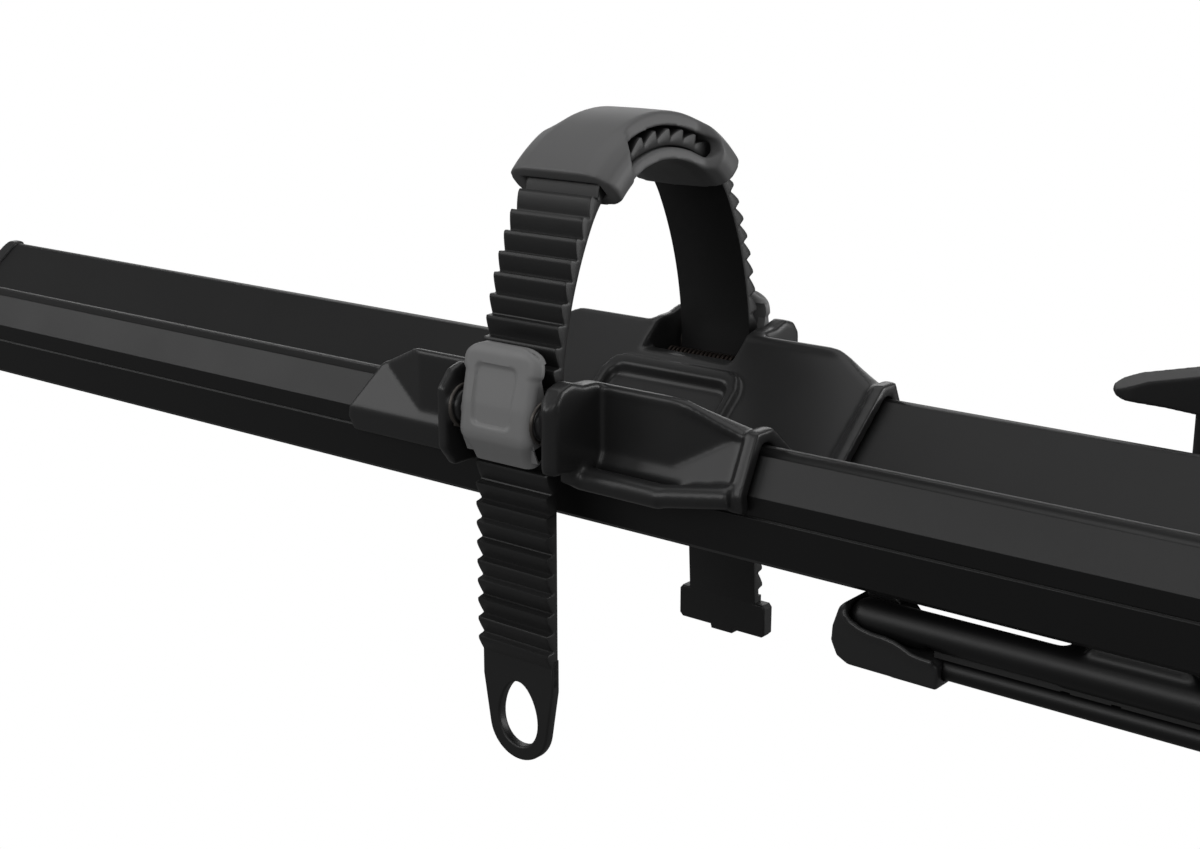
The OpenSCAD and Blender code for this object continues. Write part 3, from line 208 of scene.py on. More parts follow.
def tone_drift_group():
    """A slow drift of colour and roughness over a surface."""
    group, given, result = new_group(
        "Tone Drift",
        [("Colour", "NodeSocketColor", (0.1, 0.1, 0.1, 1.0)), ("Spread", "NodeSocketFloat", 0.1),
         ("Roughness", "NodeSocketFloat", 0.5), ("Scale", "NodeSocketFloat", 30.0)],
        [("Colour", "NodeSocketColor"), ("Roughness", "NodeSocketFloat")])
    where = group.nodes.new("ShaderNodeTexCoord")
    noise = group.nodes.new("ShaderNodeTexNoise")
    noise.inputs["Detail"].default_value = 3.0
    centred = math_node(group, "SUBTRACT", 0.5)
    spread = math_node(group, "MULTIPLY")
    value = math_node(group, "ADD", 1.0)
    rough = math_node(group, "ADD")
    bright = group.nodes.new("ShaderNodeHueSaturation")
    link = group.links.new
    link(where.outputs["Object"], noise.inputs["Vector"])
    link(given.outputs["Scale"], noise.inputs["Scale"])
    link(noise.outputs["Fac"], centred.inputs[0])
    link(centred.outputs[0], spread.inputs[0])
    link(given.outputs["Spread"], spread.inputs[1])
    link(spread.outputs[0], value.inputs[0])
    link(value.outputs[0], bright.inputs["Value"])
    link(given.outputs["Colour"], bright.inputs["Color"])
    link(given.outputs["Roughness"], rough.inputs[0])
    link(spread.outputs[0], rough.inputs[1])
    link(bright.outputs["Color"], result.inputs["Colour"])
    link(rough.outputs[0], result.inputs["Roughness"])
    return group


def placed_group(tree, group, values):
    """A group's node in a material, with inputs set by name."""
    node = tree.nodes.new("ShaderNodeGroup")
    node.node_tree = group
    for socket, value in values.items():
        node.inputs[socket].default_value = value
    return node


# The shared node groups, made with the first finish
GROUPS = {}
GRAIN_DEPTH = 0.0001
COAT_ROUGHNESS = 0.24


def finish_of(name, colour, roughness, drift=0.1, grain=None, metallic=0.0, specular=0.5, coat=0.0):
    """A finish, made once under its name; grain is its scale and strength."""
    if name in bpy.data.materials:
        return bpy.data.materials[name]
    if not GROUPS:
        GROUPS["grain"], GROUPS["drift"] = moulded_grain_group(), tone_drift_group()
    material = bpy.data.materials.new(name)
    material.use_nodes = True
    material.diffuse_color = (*colour, 1.0)
    tree = material.node_tree
    shader = tree.nodes["Principled BSDF"]
    shader.inputs["Metallic"].default_value = metallic
    shader.inputs["Specular IOR Level"].default_value = specular
    shader.inputs["Coat Weight"].default_value = coat
    shader.inputs["Coat Roughness"].default_value = COAT_ROUGHNESS
    tone = placed_group(tree, GROUPS["drift"], {
        "Colour": (*colour, 1.0), "Spread": drift, "Roughness": roughness})
    tree.links.new(tone.outputs["Colour"], shader.inputs["Base Color"])
    tree.links.new(tone.outputs["Roughness"], shader.inputs["Roughness"])
    if grain:
        skin = placed_group(tree, GROUPS["grain"], {
            "Scale": grain[0], "Strength": grain[1], "Depth": GRAIN_DEPTH})
        tree.links.new(skin.outputs["Normal"], shader.inputs["Normal"])
    return material


def powder_coat():
    """Satin black coat of the tray and the clamps."""
    look = bpy.context.scene.carrier_finish
    return finish_of("Powder Coat", look.tray_colour, look.tray_roughness,
                     grain=(3200.0, 0.05), specular=0.48)


def black_plastic():
    """Moulded plastic of the saddles and caps, with a faint gloss."""
    look = bpy.context.scene.carrier_finish
    return finish_of("Black Plastic", look.plastic_colour, look.plastic_roughness,
                     grain=(2600.0, 0.05), specular=0.37, coat=0.3)


def knob_plastic():
    """The same plastic with a duller skin."""
    look = bpy.context.scene.carrier_finish
    return finish_of("Knob Plastic", look.plastic_colour, 0.55, grain=(2600.0, 0.1), specular=0.25)


def strap_rubber():
    """Bendy plastic of the straps."""
    look = bpy.context.scene.carrier_finish
    return finish_of("Strap Rubber", look.strap_colour, 0.45,
                     grain=(1800.0, 0.08), specular=0.46, coat=0.15)


def pad_plastic():
    """Grey plastic of the strap pads."""
    look = bpy.context.scene.carrier_finish
    return finish_of("Pad Grey", look.pad_colour, 0.48, 0.04, grain=(2800.0, 0.06))


def lever_plastic():
    """Lighter grey plastic of the buckle levers."""
    look = bpy.context.scene.carrier_finish
    return finish_of("Lever Grey", look.lever_colour, 0.45, 0.04, grain=(2800.0, 0.06))


def soft_rubber():
    """Grippy rubber of the seats and the frame jaws."""
    return finish_of("Soft Rubber", (0.02, 0.02, 0.02), 0.6, grain=(1500.0, 0.15))


def plated_wire():
    """Wire of the lever coils."""
    return finish_of("Plated Wire", (0.11, 0.1, 0.092), 0.42, 0.2, metallic=0.8)


def dark_wire():
    """Wire of the guide coils."""
    return finish_of("Dark Wire", (0.05, 0.038, 0.032), 0.42, 0.2, metallic=0.7)


def zinc_steel():
    """Plated screws, nuts and pins."""
    return finish_of("Zinc Steel", (0.42, 0.42, 0.43), 0.35, metallic=1.0)


def brass():
    """Thread inserts."""
    return finish_of("Brass", (0.6, 0.44, 0.2), 0.35, metallic=1.0)


# ---------------------------------------------------------------- making pieces


def linked(name, data):
    """A new object in the scene."""
    thing = bpy.data.objects.new(name, data)
    bpy.context.scene.collection.objects.link(thing)
    return thing


def add_piece(name, mesh, body, material, slot, *nodes, smooth=True):
    """A finished piece that rides on a body and stands for CAD nodes."""
    piece = linked(name, mesh)
    mesh.materials.clear()
    mesh.materials.append(material)
    mesh.polygons.foreach_set("use_smooth", [smooth] * len(mesh.polygons))
    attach(piece, body)
    if nodes:
        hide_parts(*nodes)


def mesh_of(name, points, faces):
    """A mesh from points in millimetres, with its faces turned outwards."""
    mesh = bpy.data.meshes.new(name)
    mesh.from_pydata([tuple(c * MM for c in p) for p in points], [], faces)
    mesh.validate()
    shell = bmesh.new()
    shell.from_mesh(mesh)
    bmesh.ops.recalc_face_normals(shell, faces=shell.faces)
    shell.to_mesh(mesh)
    shell.free()
    mesh.update()
    return mesh


def shown_mesh(helper, name):
    """The mesh that an object shows, with its modifiers or its curve worked out."""
    view = bpy.context.evaluated_depsgraph_get()
    mesh = bpy.data.meshes.new_from_object(
        helper.evaluated_get(view), preserve_all_data_layers=False, depsgraph=view)
    mesh.name = name
    return mesh


def baked(source, steps, name):
    """A new mesh: the source mesh after a list of (modifier type, settings)."""
    helper = linked(name + "_helper", source)
    for kind, settings in steps:
        modifier = helper.modifiers.new(kind, kind)
        for key, value in settings.items():
            setattr(modifier, key, value)
    mesh = shown_mesh(helper, name)
    bpy.data.objects.remove(helper)
    return mesh


def welded_copy(node, name):
    """A copy of a CAD node's mesh with its split corners joined again."""
    return baked(NODES[node].data.copy(), [("WELD", {"merge_threshold": 1e-6})], name)


def carved(name, mesh, cutters):
    """The mesh with other closed meshes cut out of it."""
    body = linked(name + "_body", mesh)
    tools = [linked(name + "_cutter", cutter) for cutter in cutters]
    for tool in tools:
        cut = body.modifiers.new("cut", "BOOLEAN")
        cut.operation, cut.object, cut.solver = "DIFFERENCE", tool, "EXACT"
    result = shown_mesh(body, name)
    for helper in [body] + tools:
        bpy.data.objects.remove(helper)
    return result


def softened(mesh, name, voxel, rounds, keep):
    """The mesh with every edge rounded, at a share of its faces."""
    return baked(mesh, [
        ("REMESH", {"mode": "VOXEL", "voxel_size": voxel}),
        ("SMOOTH", {"factor": 0.5, "iterations": rounds}),
        ("DECIMATE", {"ratio": keep}),
    ], name)


def moulded(node, name, voxel, rounds, keep, added=(), cut=()):
    """A CAD node's shape with the soft edges of a moulding, with other closed
    meshes first cut out of it and then grown onto it."""
    shape = welded_copy(node, name + "_raw")
    if cut:
        shape = carved(name + "_cut", shape, cut)
    if added:
        shape = joined(name + "_whole", [shape, *added])
    return softened(shape, name, voxel, rounds, keep)


def eased(node, name, width):
    """A CAD node's shape with narrow eased edges."""
    return baked(welded_copy(node, name + "_raw"), [
        ("BEVEL", {"width": width, "segments": 2, "limit_method": "ANGLE",
                   "angle_limit": math.radians(28.0), "harden_normals": True,
                   "use_clamp_overlap": True}),
    ], name)


def ring_tube(rings):
    """Points and faces of a closed tube through rings of the same number of points."""
    count, around = len(rings), len(rings[0])
    points = [p for ring in rings for p in ring]
    faces = []
    for k in range(count - 1):
        here, there = k * around, (k + 1) * around
        for j in range(around):
            n = (j + 1) % around
            faces.append((here + j, here + n, there + n, there + j))
    faces.append(tuple(range(around - 1, -1, -1)))
    faces.append(tuple((count - 1) * around + j for j in range(around)))
    return points, faces


def turn(count):
    """Equal angles once round, in radians."""
    return [2 * math.pi * j / count for j in range(count)]


def block(low, high):
    """A closed box between two corners, as a tool that shapes another piece."""
    (x0, y0, z0), (x1, y1, z1) = low, high
    rings = [[(x, y0, z0), (x, y1, z0), (x, y1, z1), (x, y0, z1)] for x in (x0, x1)]
    return mesh_of("block", *ring_tube(rings))


def bent_rod(path, radius, around=16):
    """A round rod along points in millimetres that run mainly along X, with one
    radius or one for each point."""
    radii = radius if isinstance(radius, list) else [radius] * len(path)
    last = len(path) - 1
    rings = []
    for k, point in enumerate(path):
        along = (Vector(path[min(k + 1, last)]) - Vector(path[max(k - 1, 0)])).normalized()
        across = along.cross(Vector((0, 0, 1))).normalized()
        up = across.cross(along)
        rings.append([Vector(point) + radii[k] * (across * math.cos(a) + up * math.sin(a))
                      for a in turn(around)])
    return mesh_of("rod", *ring_tube(rings))


def smooth_step(t):
    """0 to 1 with soft ends, for t from 0 to 1."""
    t = min(1.0, max(0.0, t))
    return t * t * (3 - 2 * t)


def outline_prism(name, loops, thickness, bevel, place):
    """A flat shape with holes, given as loops of (x, y) in millimetres, drawn out
    both ways from its middle, with rounded edges, then placed by a matrix."""
    curve = bpy.data.curves.new(name + "_outline", "CURVE")
    curve.dimensions = "2D"
    curve.fill_mode = "BOTH"
    for loop in loops:
        spline = curve.splines.new("POLY")
        spline.points.add(len(loop) - 1)
        spline.points.foreach_set("co", [c for x, y in loop for c in (x * MM, y * MM, 0.0, 1.0)])
        spline.use_cyclic_u = True
    curve.extrude = (thickness / 2 - bevel) * MM
    curve.bevel_depth = bevel * MM
    curve.bevel_resolution = 2
    curve.offset = -bevel * MM
    helper = linked(name + "_helper", curve)
    mesh = shown_mesh(helper, name)
    bpy.data.objects.remove(helper)
    mesh.transform(place)
    return mesh


def upright(x, y):
    """Places a flat shape so that its plane faces along Y, over the ridges."""
    turned = Matrix.Rotation(math.radians(90), 4, "X")
    return Matrix.Translation((x * MM, y * MM, RIDGE * MM)) @ turned


def joined(name, meshes):
    """One mesh from several."""
    points, faces = [], []
    for mesh in meshes:
        base = len(points)
        points += [tuple(v.co) for v in mesh.vertices]
        faces += [tuple(base + i for i in p.vertices) for p in mesh.polygons]
    whole = bpy.data.meshes.new(name)
    whole.from_pydata(points, [], faces)
    whole.validate()
    whole.update()
    return whole


# ---------------------------------------------------------------- the strap


# Millimetres and degrees. The sides stand at MID_Y, the arch's centre is at ARCH_Z
# over the ridges, and each side arc is wider than the top arc by FLARE
MID_Y, FLARE, ARCH_Z, TOP_A = 44.2, 70.0, 33.4, 62.0
ARCH_R = MID_Y - FLARE * (1 - math.sin(math.radians(TOP_A)))
SIDE_R = ARCH_R + FLARE
STRAP_T, STRAP_HALF = 2.6, 13.0
# The step outwards over the guide coils, its length, and the far tail's lean
STEP_OUT, STEP_LEN, FAR_LEAN = 2.6, 21.0, 3.4
# How far the tails reach below the ridges, and the height of the ledge that a pawl holds
NEAR_TAIL, FAR_TAIL, CATCH_Z = 70.6, 81.0, -8.5
TOP_LEN = ARCH_R * math.radians(TOP_A)
SIDE_LEN = SIDE_R * math.radians(90 - TOP_A)
MID_Z = ARCH_Z + (ARCH_R - SIDE_R) * math.cos(math.radians(TOP_A))
# Lengths along the strap from its top
CATCH_S = TOP_LEN + SIDE_LEN + MID_Z - CATCH_Z
NEAR_LEN = TOP_LEN + SIDE_LEN + NEAR_TAIL + MID_Z
FAR_LEN = TOP_LEN + SIDE_LEN + FAR_TAIL + MID_Z
# How far the band runs into the pull tab, and the spacing of its sections
TAB_LAP, TOOTHED_STEP, PLAIN_STEP = 6.0, 0.28, 0.8


def strap_line(u, lean):
    """(across, height) of the inner face at a length from the top, on one side."""
    if u < TOP_LEN:
        a = math.radians(u / TOP_LEN * TOP_A)
        return ARCH_R * math.sin(a), ARCH_Z + ARCH_R * math.cos(a)
    if u < TOP_LEN + SIDE_LEN:
        a = math.radians(TOP_A) + (u - TOP_LEN) / SIDE_R
        return MID_Y - SIDE_R + SIDE_R * math.sin(a), MID_Z + SIDE_R * math.cos(a)
    t = u - TOP_LEN - SIDE_LEN
    if t < STEP_LEN:
        return MID_Y + STEP_OUT * smooth_step(t / STEP_LEN), MID_Z - t
    t -= STEP_LEN
    return MID_Y + STEP_OUT + t * math.tan(math.radians(lean)), MID_Z - STEP_LEN - t


def strap_station(s):
    """Point on the inner face and outward direction, as (y, z) pairs; s > 0 is near."""
    lean = FAR_LEAN if s < 0 else 0.0
    u = abs(s)
    y0, z0 = strap_line(u, lean)
    y1, z1 = strap_line(u + 0.05, lean)
    d = math.hypot(y1 - y0, z1 - z0)
    out = (-(z1 - z0) / d, (y1 - y0) / d)
    side = 1 if s < 0 else -1
    return (side * y0, z0), (side * out[0], out[1])


def tooth_shape(t, pitch):
    """Height of the teeth, 0 to 1, at a length past a ledge: a steep ledge, a narrow
    top and a long slope, in millimetres of a 5.7 mm tooth."""
    t = (t % pitch) / pitch * 5.7
    if t < 0.12:
        return 0.0
    if t < 0.72:
        return smooth_step((t - 0.12) / 0.6)
    if t < 1.5:
        return 1.0
    return max(0.0, 1.0 - ((t - 1.5) / 4.1) ** 1.15)


def strap_section(tooth):
    """The band's section: flat inside, rounded corners, teeth across its whole width."""
    half, top = STRAP_HALF, STRAP_T + tooth
    inner = [(-half + 0.7, 0.0), (0.0, 0.0), (half - 0.7, 0.0), (half - 0.2, 0.2), (half, 0.7)]
    outer = [(half, STRAP_T - 0.5 + 0.75 * tooth), (half - 0.12, top - 0.22),
             (half - 0.5, top - 0.03)]
    across = [(x, top) for x in (half - 1.2, half - 4.0, 0.0, 4.0 - half, 1.2 - half)]
    mirrored = [(-x, h) for x, h in reversed(outer)]
    return inner + outer + across + mirrored + [(-half, 0.7), (-half + 0.2, 0.2)]


def strap_band(sizes):
    """The toothed band, from the far stop to the near tab."""
    pitch, height = sizes.tooth_pitch / MM, sizes.tooth_height / MM
    near_end = NEAR_LEN + TAB_LAP
    first = CATCH_S - math.floor((CATCH_S + FAR_LEN - 2) / pitch) * pitch
    last = CATCH_S + math.floor((near_end - CATCH_S) / pitch) * pitch
    rings = []
    s = -FAR_LEN
    while s <= near_end + 1e-6:
        (y, z), (ny, nz) = strap_station(s)
        tooth = height * tooth_shape(s - CATCH_S, pitch) if first <= s <= last else 0.0
        rings.append([(x, y + ny * h, z + nz * h) for x, h in strap_section(tooth)])
        s += TOOTHED_STEP if first - 1 <= s <= last + 1 else PLAIN_STEP
    return ring_tube(rings)


def pull_tab(x0):
    """The near end: a round-ended tab with an egg-shaped hole."""
    end_r, shoulder = 10.8, -NEAR_TAIL - 7.5
    end_z = -NEAR_TAIL - 31.0
    outline = [(-STRAP_HALF, -NEAR_TAIL + 2), (-STRAP_HALF, shoulder)]
    for a in range(188, 353, 6):
        c, d = math.cos(math.radians(a)), math.sin(math.radians(a))
        outline.append((end_r * c, end_z + end_r + end_r * d))
    outline += [(STRAP_HALF, shoulder), (STRAP_HALF, -NEAR_TAIL + 2)]
    hole = []
    for a in range(0, 360, 8):
        c, d = math.cos(math.radians(a)), math.sin(math.radians(a))
        hole.append((7.0 * c * (1 - 0.16 * d), end_z + 14 + 9.8 * d))
    y = -(MID_Y + STEP_OUT) - 1.25
    return outline_prism("pull_tab", [outline, hole], 3.2, 0.6, upright(x0, y))


def end_stop(x0):
    """The far end: a cross stop that keeps the strap from slipping out."""
    (y, _), _ = strap_station(-FAR_LEN)
    wide, neck, top = 16.8, 12.6, -FAR_TAIL
    foot = top - 11.0
    outline = [(-wide, foot + 1.2), (-wide + 1.2, foot), (-4.4, foot), (-4.0, foot - 1.4),
               (4.0, foot - 1.4), (4.4, foot), (wide - 1.2, foot), (wide, foot + 1.2),
               (wide, top - 1.2), (wide - 1.0, top), (neck, top), (neck, top + 2),
               (-neck, top + 2), (-neck, top), (-wide + 1.0, top), (-wide, top - 1.2)]
    return outline_prism("end_stop", [outline], 4.6, 0.6, upright(x0, y + 2.3))


# ---------------------------------------------------------------- the strap pad


# Outer and inner radius about the arch, half span, half width of the waist, and half
# span of the side windows, in millimetres and degrees
PAD_OUT, PAD_LOW, PAD_SPAN, PAD_WAIST, PAD_WINDOW = 45.7, 31.3, 46.5, 11.0, 32.0
WINDOW_R, WINDOW_HALF = 38.6, 2.85


def arch_sweep(name, x0, span, section, step=1.0):
    """A solid swept about the arch's axis: section(a) gives (x, radius) points."""
    rings = []
    count = max(8, int(2 * span / step))
    for i in range(count + 1):
        a = -span + 2 * span * i / count
        c, s = math.cos(math.radians(a)), math.sin(math.radians(a))
        rings.append([(x0 + x, r * s, RIDGE + ARCH_Z + r * c) for x, r in section(a)])
    return mesh_of(name, *ring_tube(rings))


def pad_skin(_):
    """Section of the pad's outer skin, before its sides are scooped out."""
    right = [(0.0, PAD_OUT), (10.5, PAD_OUT - 0.1), (14.5, PAD_OUT - 1.0), (17.2, PAD_OUT - 3.2),
             (18.4, 39.6), (18.4, 37.0), (17.5, 34.2), (14.5, 32.4), (10.0, 31.6), (0.0, PAD_LOW)]
    return right + [(-x, r) for x, r in right[-2:0:-1]]


def pad_window(a):
    """Section of the window's cutter; it narrows to nothing at its round ends."""
    left = max(0.0, PAD_WINDOW - abs(a))
    h = WINDOW_HALF * math.sqrt(max(0.02, 1 - max(0.0, 1 - left / 4.2) ** 2))
    low, high = WINDOW_R - h, WINDOW_R + h
    return [(-30.0, low), (30.0, low), (30.0, high), (-30.0, high)]


def strap_channel(_):
    """Section of the way that the strap takes through the pad."""
    return [(-13.35, 35.65), (13.35, 35.65), (13.35, 41.2), (-13.35, 41.2)]


def pad_scoop(name, x0, side):
    """Cutter of one side of the pad's waist; it leans, so the lip is wider than the roof."""
    half, lean = 15.5, math.tan(math.radians(13.8))
    outline = [(0.0, half), (0.4, half + 1.4), (1.4, half + 2.8), (12.0, half + 13.0),
               (30.0, half + 13.0)]
    outline += [(x, -y) for x, y in outline[::-1]]
    rings = []
    for z in (-30.0, 6.0):
        edge = x0 + side * (PAD_WAIST - z * lean)
        rings.append([(edge + side * x, y, RIDGE + ARCH_Z + PAD_OUT + z) for x, y in outline])
    return mesh_of(name, *ring_tube(rings))


def strap_pad_mesh(name, x0, voxel):
    """The grey sleeve round the top of the strap, with a window in each side."""
    shape = carved(name + "_shape", arch_sweep(name + "_skin", x0, PAD_SPAN, pad_skin), [
        pad_scoop(name + "left", x0, -1),
        pad_scoop(name + "right", x0, 1),
        arch_sweep(name + "channel", x0, 50.0, strap_channel),
        arch_sweep(name + "window", x0, PAD_WINDOW + 0.4, pad_window, 0.7),
    ])
    return softened(shape, name, voxel, 22, 0.3)


# ---------------------------------------------------------------- the levers


# The lever's tip, its pin, the shell's thickness and the boss round the pin, across and
# up from the strap's centre at the ridges
LEVER_TIP_Y, LEVER_PIN_Y, LEVER_PIN_Z = 58.8, 53.5, 1.6
LEVER_SHELL, LEVER_BOSS = 3.4, 3.4
# The face in side view, from its inner top over its crown to its foot
LEVER_LINE = [(-8.7, 17.0), (-8.6, 19.2), (-7.4, 20.6), (-5.2, 20.5), (-3.9, 18.4), (-3.1, 14.4),
              (-0.9, 4.4), (0.0, -3.4), (-0.3, -5.4), (-3.6, -11.0), (-4.3, -12.3)]
# The two cheeks of a lever, along the pin
CHEEKS = ((10.2, 12.8), (-12.8, -10.2))


def lever_half(z):
    """Half width of the lever's face at a height."""
    half = 12.9 + 0.9 * smooth_step((z - 12.6) / 1.6)
    if z > 15.4:
        half -= 5.2 - math.sqrt(max(0.0, 27.04 - (z - 15.4) ** 2))
    if z < -4.2:
        half -= 1.7 * smooth_step((-4.2 - z) / 7.0)
    return half


def lever_profile():
    """The face in side view, at even steps and with its corners rounded."""
    line = []
    for (y0, z0), (y1, z1) in zip(LEVER_LINE, LEVER_LINE[1:]):
        n = max(2, int(math.hypot(y1 - y0, z1 - z0) / 0.5))
        line += [(LEVER_TIP_Y + y0 + (y1 - y0) * i / n, z0 + (z1 - z0) * i / n) for i in range(n)]
    line.append((LEVER_TIP_Y + LEVER_LINE[-1][0], LEVER_LINE[-1][1]))
    for _ in range(3):
        line = [line[0]] + [
            ((a[0] + 2 * b[0] + c[0]) / 4, (a[1] + 2 * b[1] + c[1]) / 4)
            for a, b, c in zip(line, line[1:], line[2:])
        ] + [line[-1]]
    return line


def lever_face():
    """The lever's shell: a curved face with a shallow panel, and its back."""
    line = lever_profile()
    columns = 61
    rings = []
    for k, (y, z) in enumerate(line):
        before, after = line[max(0, k - 1)], line[min(len(line) - 1, k + 1)]
        dy, dz = after[0] - before[0], after[1] - before[1]
        length = math.hypot(dy, dz)
        ny, nz = -dz / length, dy / length
        half = lever_half(z)
        ring = []
        for j in range(columns):
            x = half * math.sin((-1 + 2 * j / (columns - 1)) * math.pi / 2)
            inset = 2.4 * (1 - math.sqrt(max(0.0, 1 - max(0.0, (abs(x) - half) / 3.4 + 1) ** 2)))
            drop = inset + panel_drop(x, z)
            ring.append((x, y - ny * drop, z - nz * drop))
        back = [(x * 0.97, y - ny * LEVER_SHELL, z - nz * LEVER_SHELL)
                for x in (half, half * 0.5, 0.0, -half * 0.5, -half)]
        rings.append(ring + back)
    return rings


def panel_drop(x, z):
    """Depth of the shallow panel in the lever's face."""
    half_x, low, high, radius = 7.4 - 0.03 * (8.0 - z), -1.6, 15.4, 2.2
    mid, half_z = (low + high) / 2, (high - low) / 2
    qx, qz = abs(x + 0.8) - half_x + radius, abs(z - mid) - half_z + radius
    edge = math.hypot(max(qx, 0), max(qz, 0)) + min(max(qx, qz), 0) - radius
    return 0.75 * smooth_step(-edge / 0.9)


def lever_mesh(name, x0, side, bite):
    """A whole buckle lever; side is -1 for the near one, and bite is how far its pawl
    reaches between the teeth."""
    tip_y, pin_y, pin_z = LEVER_TIP_Y, LEVER_PIN_Y, LEVER_PIN_Z

    def place(points):
        return [(x0 + x, side * y, RIDGE + z) for x, y, z in points]

    def web(low, high, shape):
        rings = [place([(x, y, z) for y, z in shape]) for x in (low, high)]
        return mesh_of("web", *ring_tube(rings))

    strap_y = MID_Y + STEP_OUT * smooth_step((MID_Z - CATCH_Z) / STEP_LEN) + STRAP_T
    catch_y = strap_y + 2.2 + 0.3
    pawl_z = CATCH_Z + 1.16
    cheek = [(pin_y - 3.3, pin_z - 1.6), (pin_y - 2.6, pin_z + 2.6), (tip_y - 5.4, 15.0),
             (tip_y - 2.0, 0.0), (tip_y - 2.4, -5.0), (tip_y - 4.8, -10.4),
             (pin_y - 1.6, CATCH_Z + 1)]
    pawl = [(tip_y - 2.4, -6.0), (tip_y - 4.2, -10.2), (pin_y - 2.4, pawl_z),
            (catch_y - bite, pawl_z), (catch_y - bite, pawl_z + 0.8), (pin_y - 2, CATCH_Z + 3.4)]
    boss = [(pin_y + LEVER_BOSS * math.cos(a), pin_z + LEVER_BOSS * math.sin(a)) for a in turn(32)]
    parts = [mesh_of("shell", *ring_tube([place(ring) for ring in lever_face()]))]
    parts += [web(low, high, cheek) for low, high in CHEEKS]
    parts.append(web(-12.8, 12.8, pawl))
    parts += [web(low, high, boss) for low, high in CHEEKS]
    return joined(name, parts)


# ---------------------------------------------------------------- springs


# Place of a guide coil, across and up from the strap's centre at the ridges
GUIDE_Y, GUIDE_Z = 40.2, -1.5
# Start along the pin, mean radius, wire, pitch, curls, first angle and straight ends
LEVER_COIL = (13.3125, 5.75, 1.1, 1.55, 1.25, -160, (5.0, 1.1))
GUIDE_COIL = (-14.4, 3.0, 1.0, 27.8 / 18, 18, 0, (1.0, 1.0))


def coil_mesh(centre, coil, flip):
    """One spring along X: a straight end, the curls, a straight end."""
    start, radius, wire, pitch, curls, first, legs = coil

    def at(a):
        return Vector((start + wire / 2 + pitch * (a - first) / 360,
                       radius * math.cos(math.radians(a)), radius * math.sin(math.radians(a))))

    def heading(a):
        v = Vector((pitch / 360, -radius * math.sin(math.radians(a)) * math.pi / 180,
                    radius * math.cos(math.radians(a)) * math.pi / 180))
        return v.normalized()

    last = first + 360 * curls
    steps = int(24 * curls)
    angles = [first + (last - first) * i / steps for i in range(steps + 1)]
    path = [(at(first) - legs[0] * heading(first), first)]
    path += [(at(a), a) for a in angles]
    path += [(at(last) + legs[1] * heading(last), last)]
    rings = []
    for point, a in path:
        out = Vector((0, math.cos(math.radians(a)), math.sin(math.radians(a))))
        along = heading(a).cross(out)
        ring = [point + wire / 2 * (out * math.cos(b) + along * math.sin(b)) for b in turn(10)]
        rings.append([(centre[0] + flip[0] * p.x, centre[1] + flip[1] * p.y, centre[2] + p.z)
                      for p in ring])
    return mesh_of("coil", *ring_tube(rings))


# ---------------------------------------------------------------- operators


# The photograph's camera: angles in degrees, and its place in metres with the height
# counted from the ridges
AZIMUTH, ELEVATION = 38.9, 15.26
CAMERA_X, CAMERA_Y, CAMERA_Z = 0.10467, -0.40239, 0.12649
FLOOR_HALF, FLOOR_Z = 9000, -420
# What every light points at
AIM = Vector((-0.12, 0.0, 0.04))


def pointed(thing, direction):
    """Turns a camera or a light to look in a direction."""
    thing.rotation_euler = direction.to_track_quat("-Z", "Y").to_euler()


def white_to_camera(tree, kind, output, strength):
    """White to the eye, and a light of the given strength to everything else."""
    mix, path = tree.nodes.new("ShaderNodeMixShader"), tree.nodes.new("ShaderNodeLightPath")
    for socket, power in ((1, strength), (2, 1.0)):
        source = tree.nodes.new(kind)
        source.inputs["Color"].default_value = WHITE
        source.inputs["Strength"].default_value = power
        tree.links.new(source.outputs[0], mix.inputs[socket])
    tree.links.new(path.outputs["Is Camera Ray"], mix.inputs["Fac"])
    tree.links.new(mix.outputs["Shader"], tree.nodes[output].inputs["Surface"])


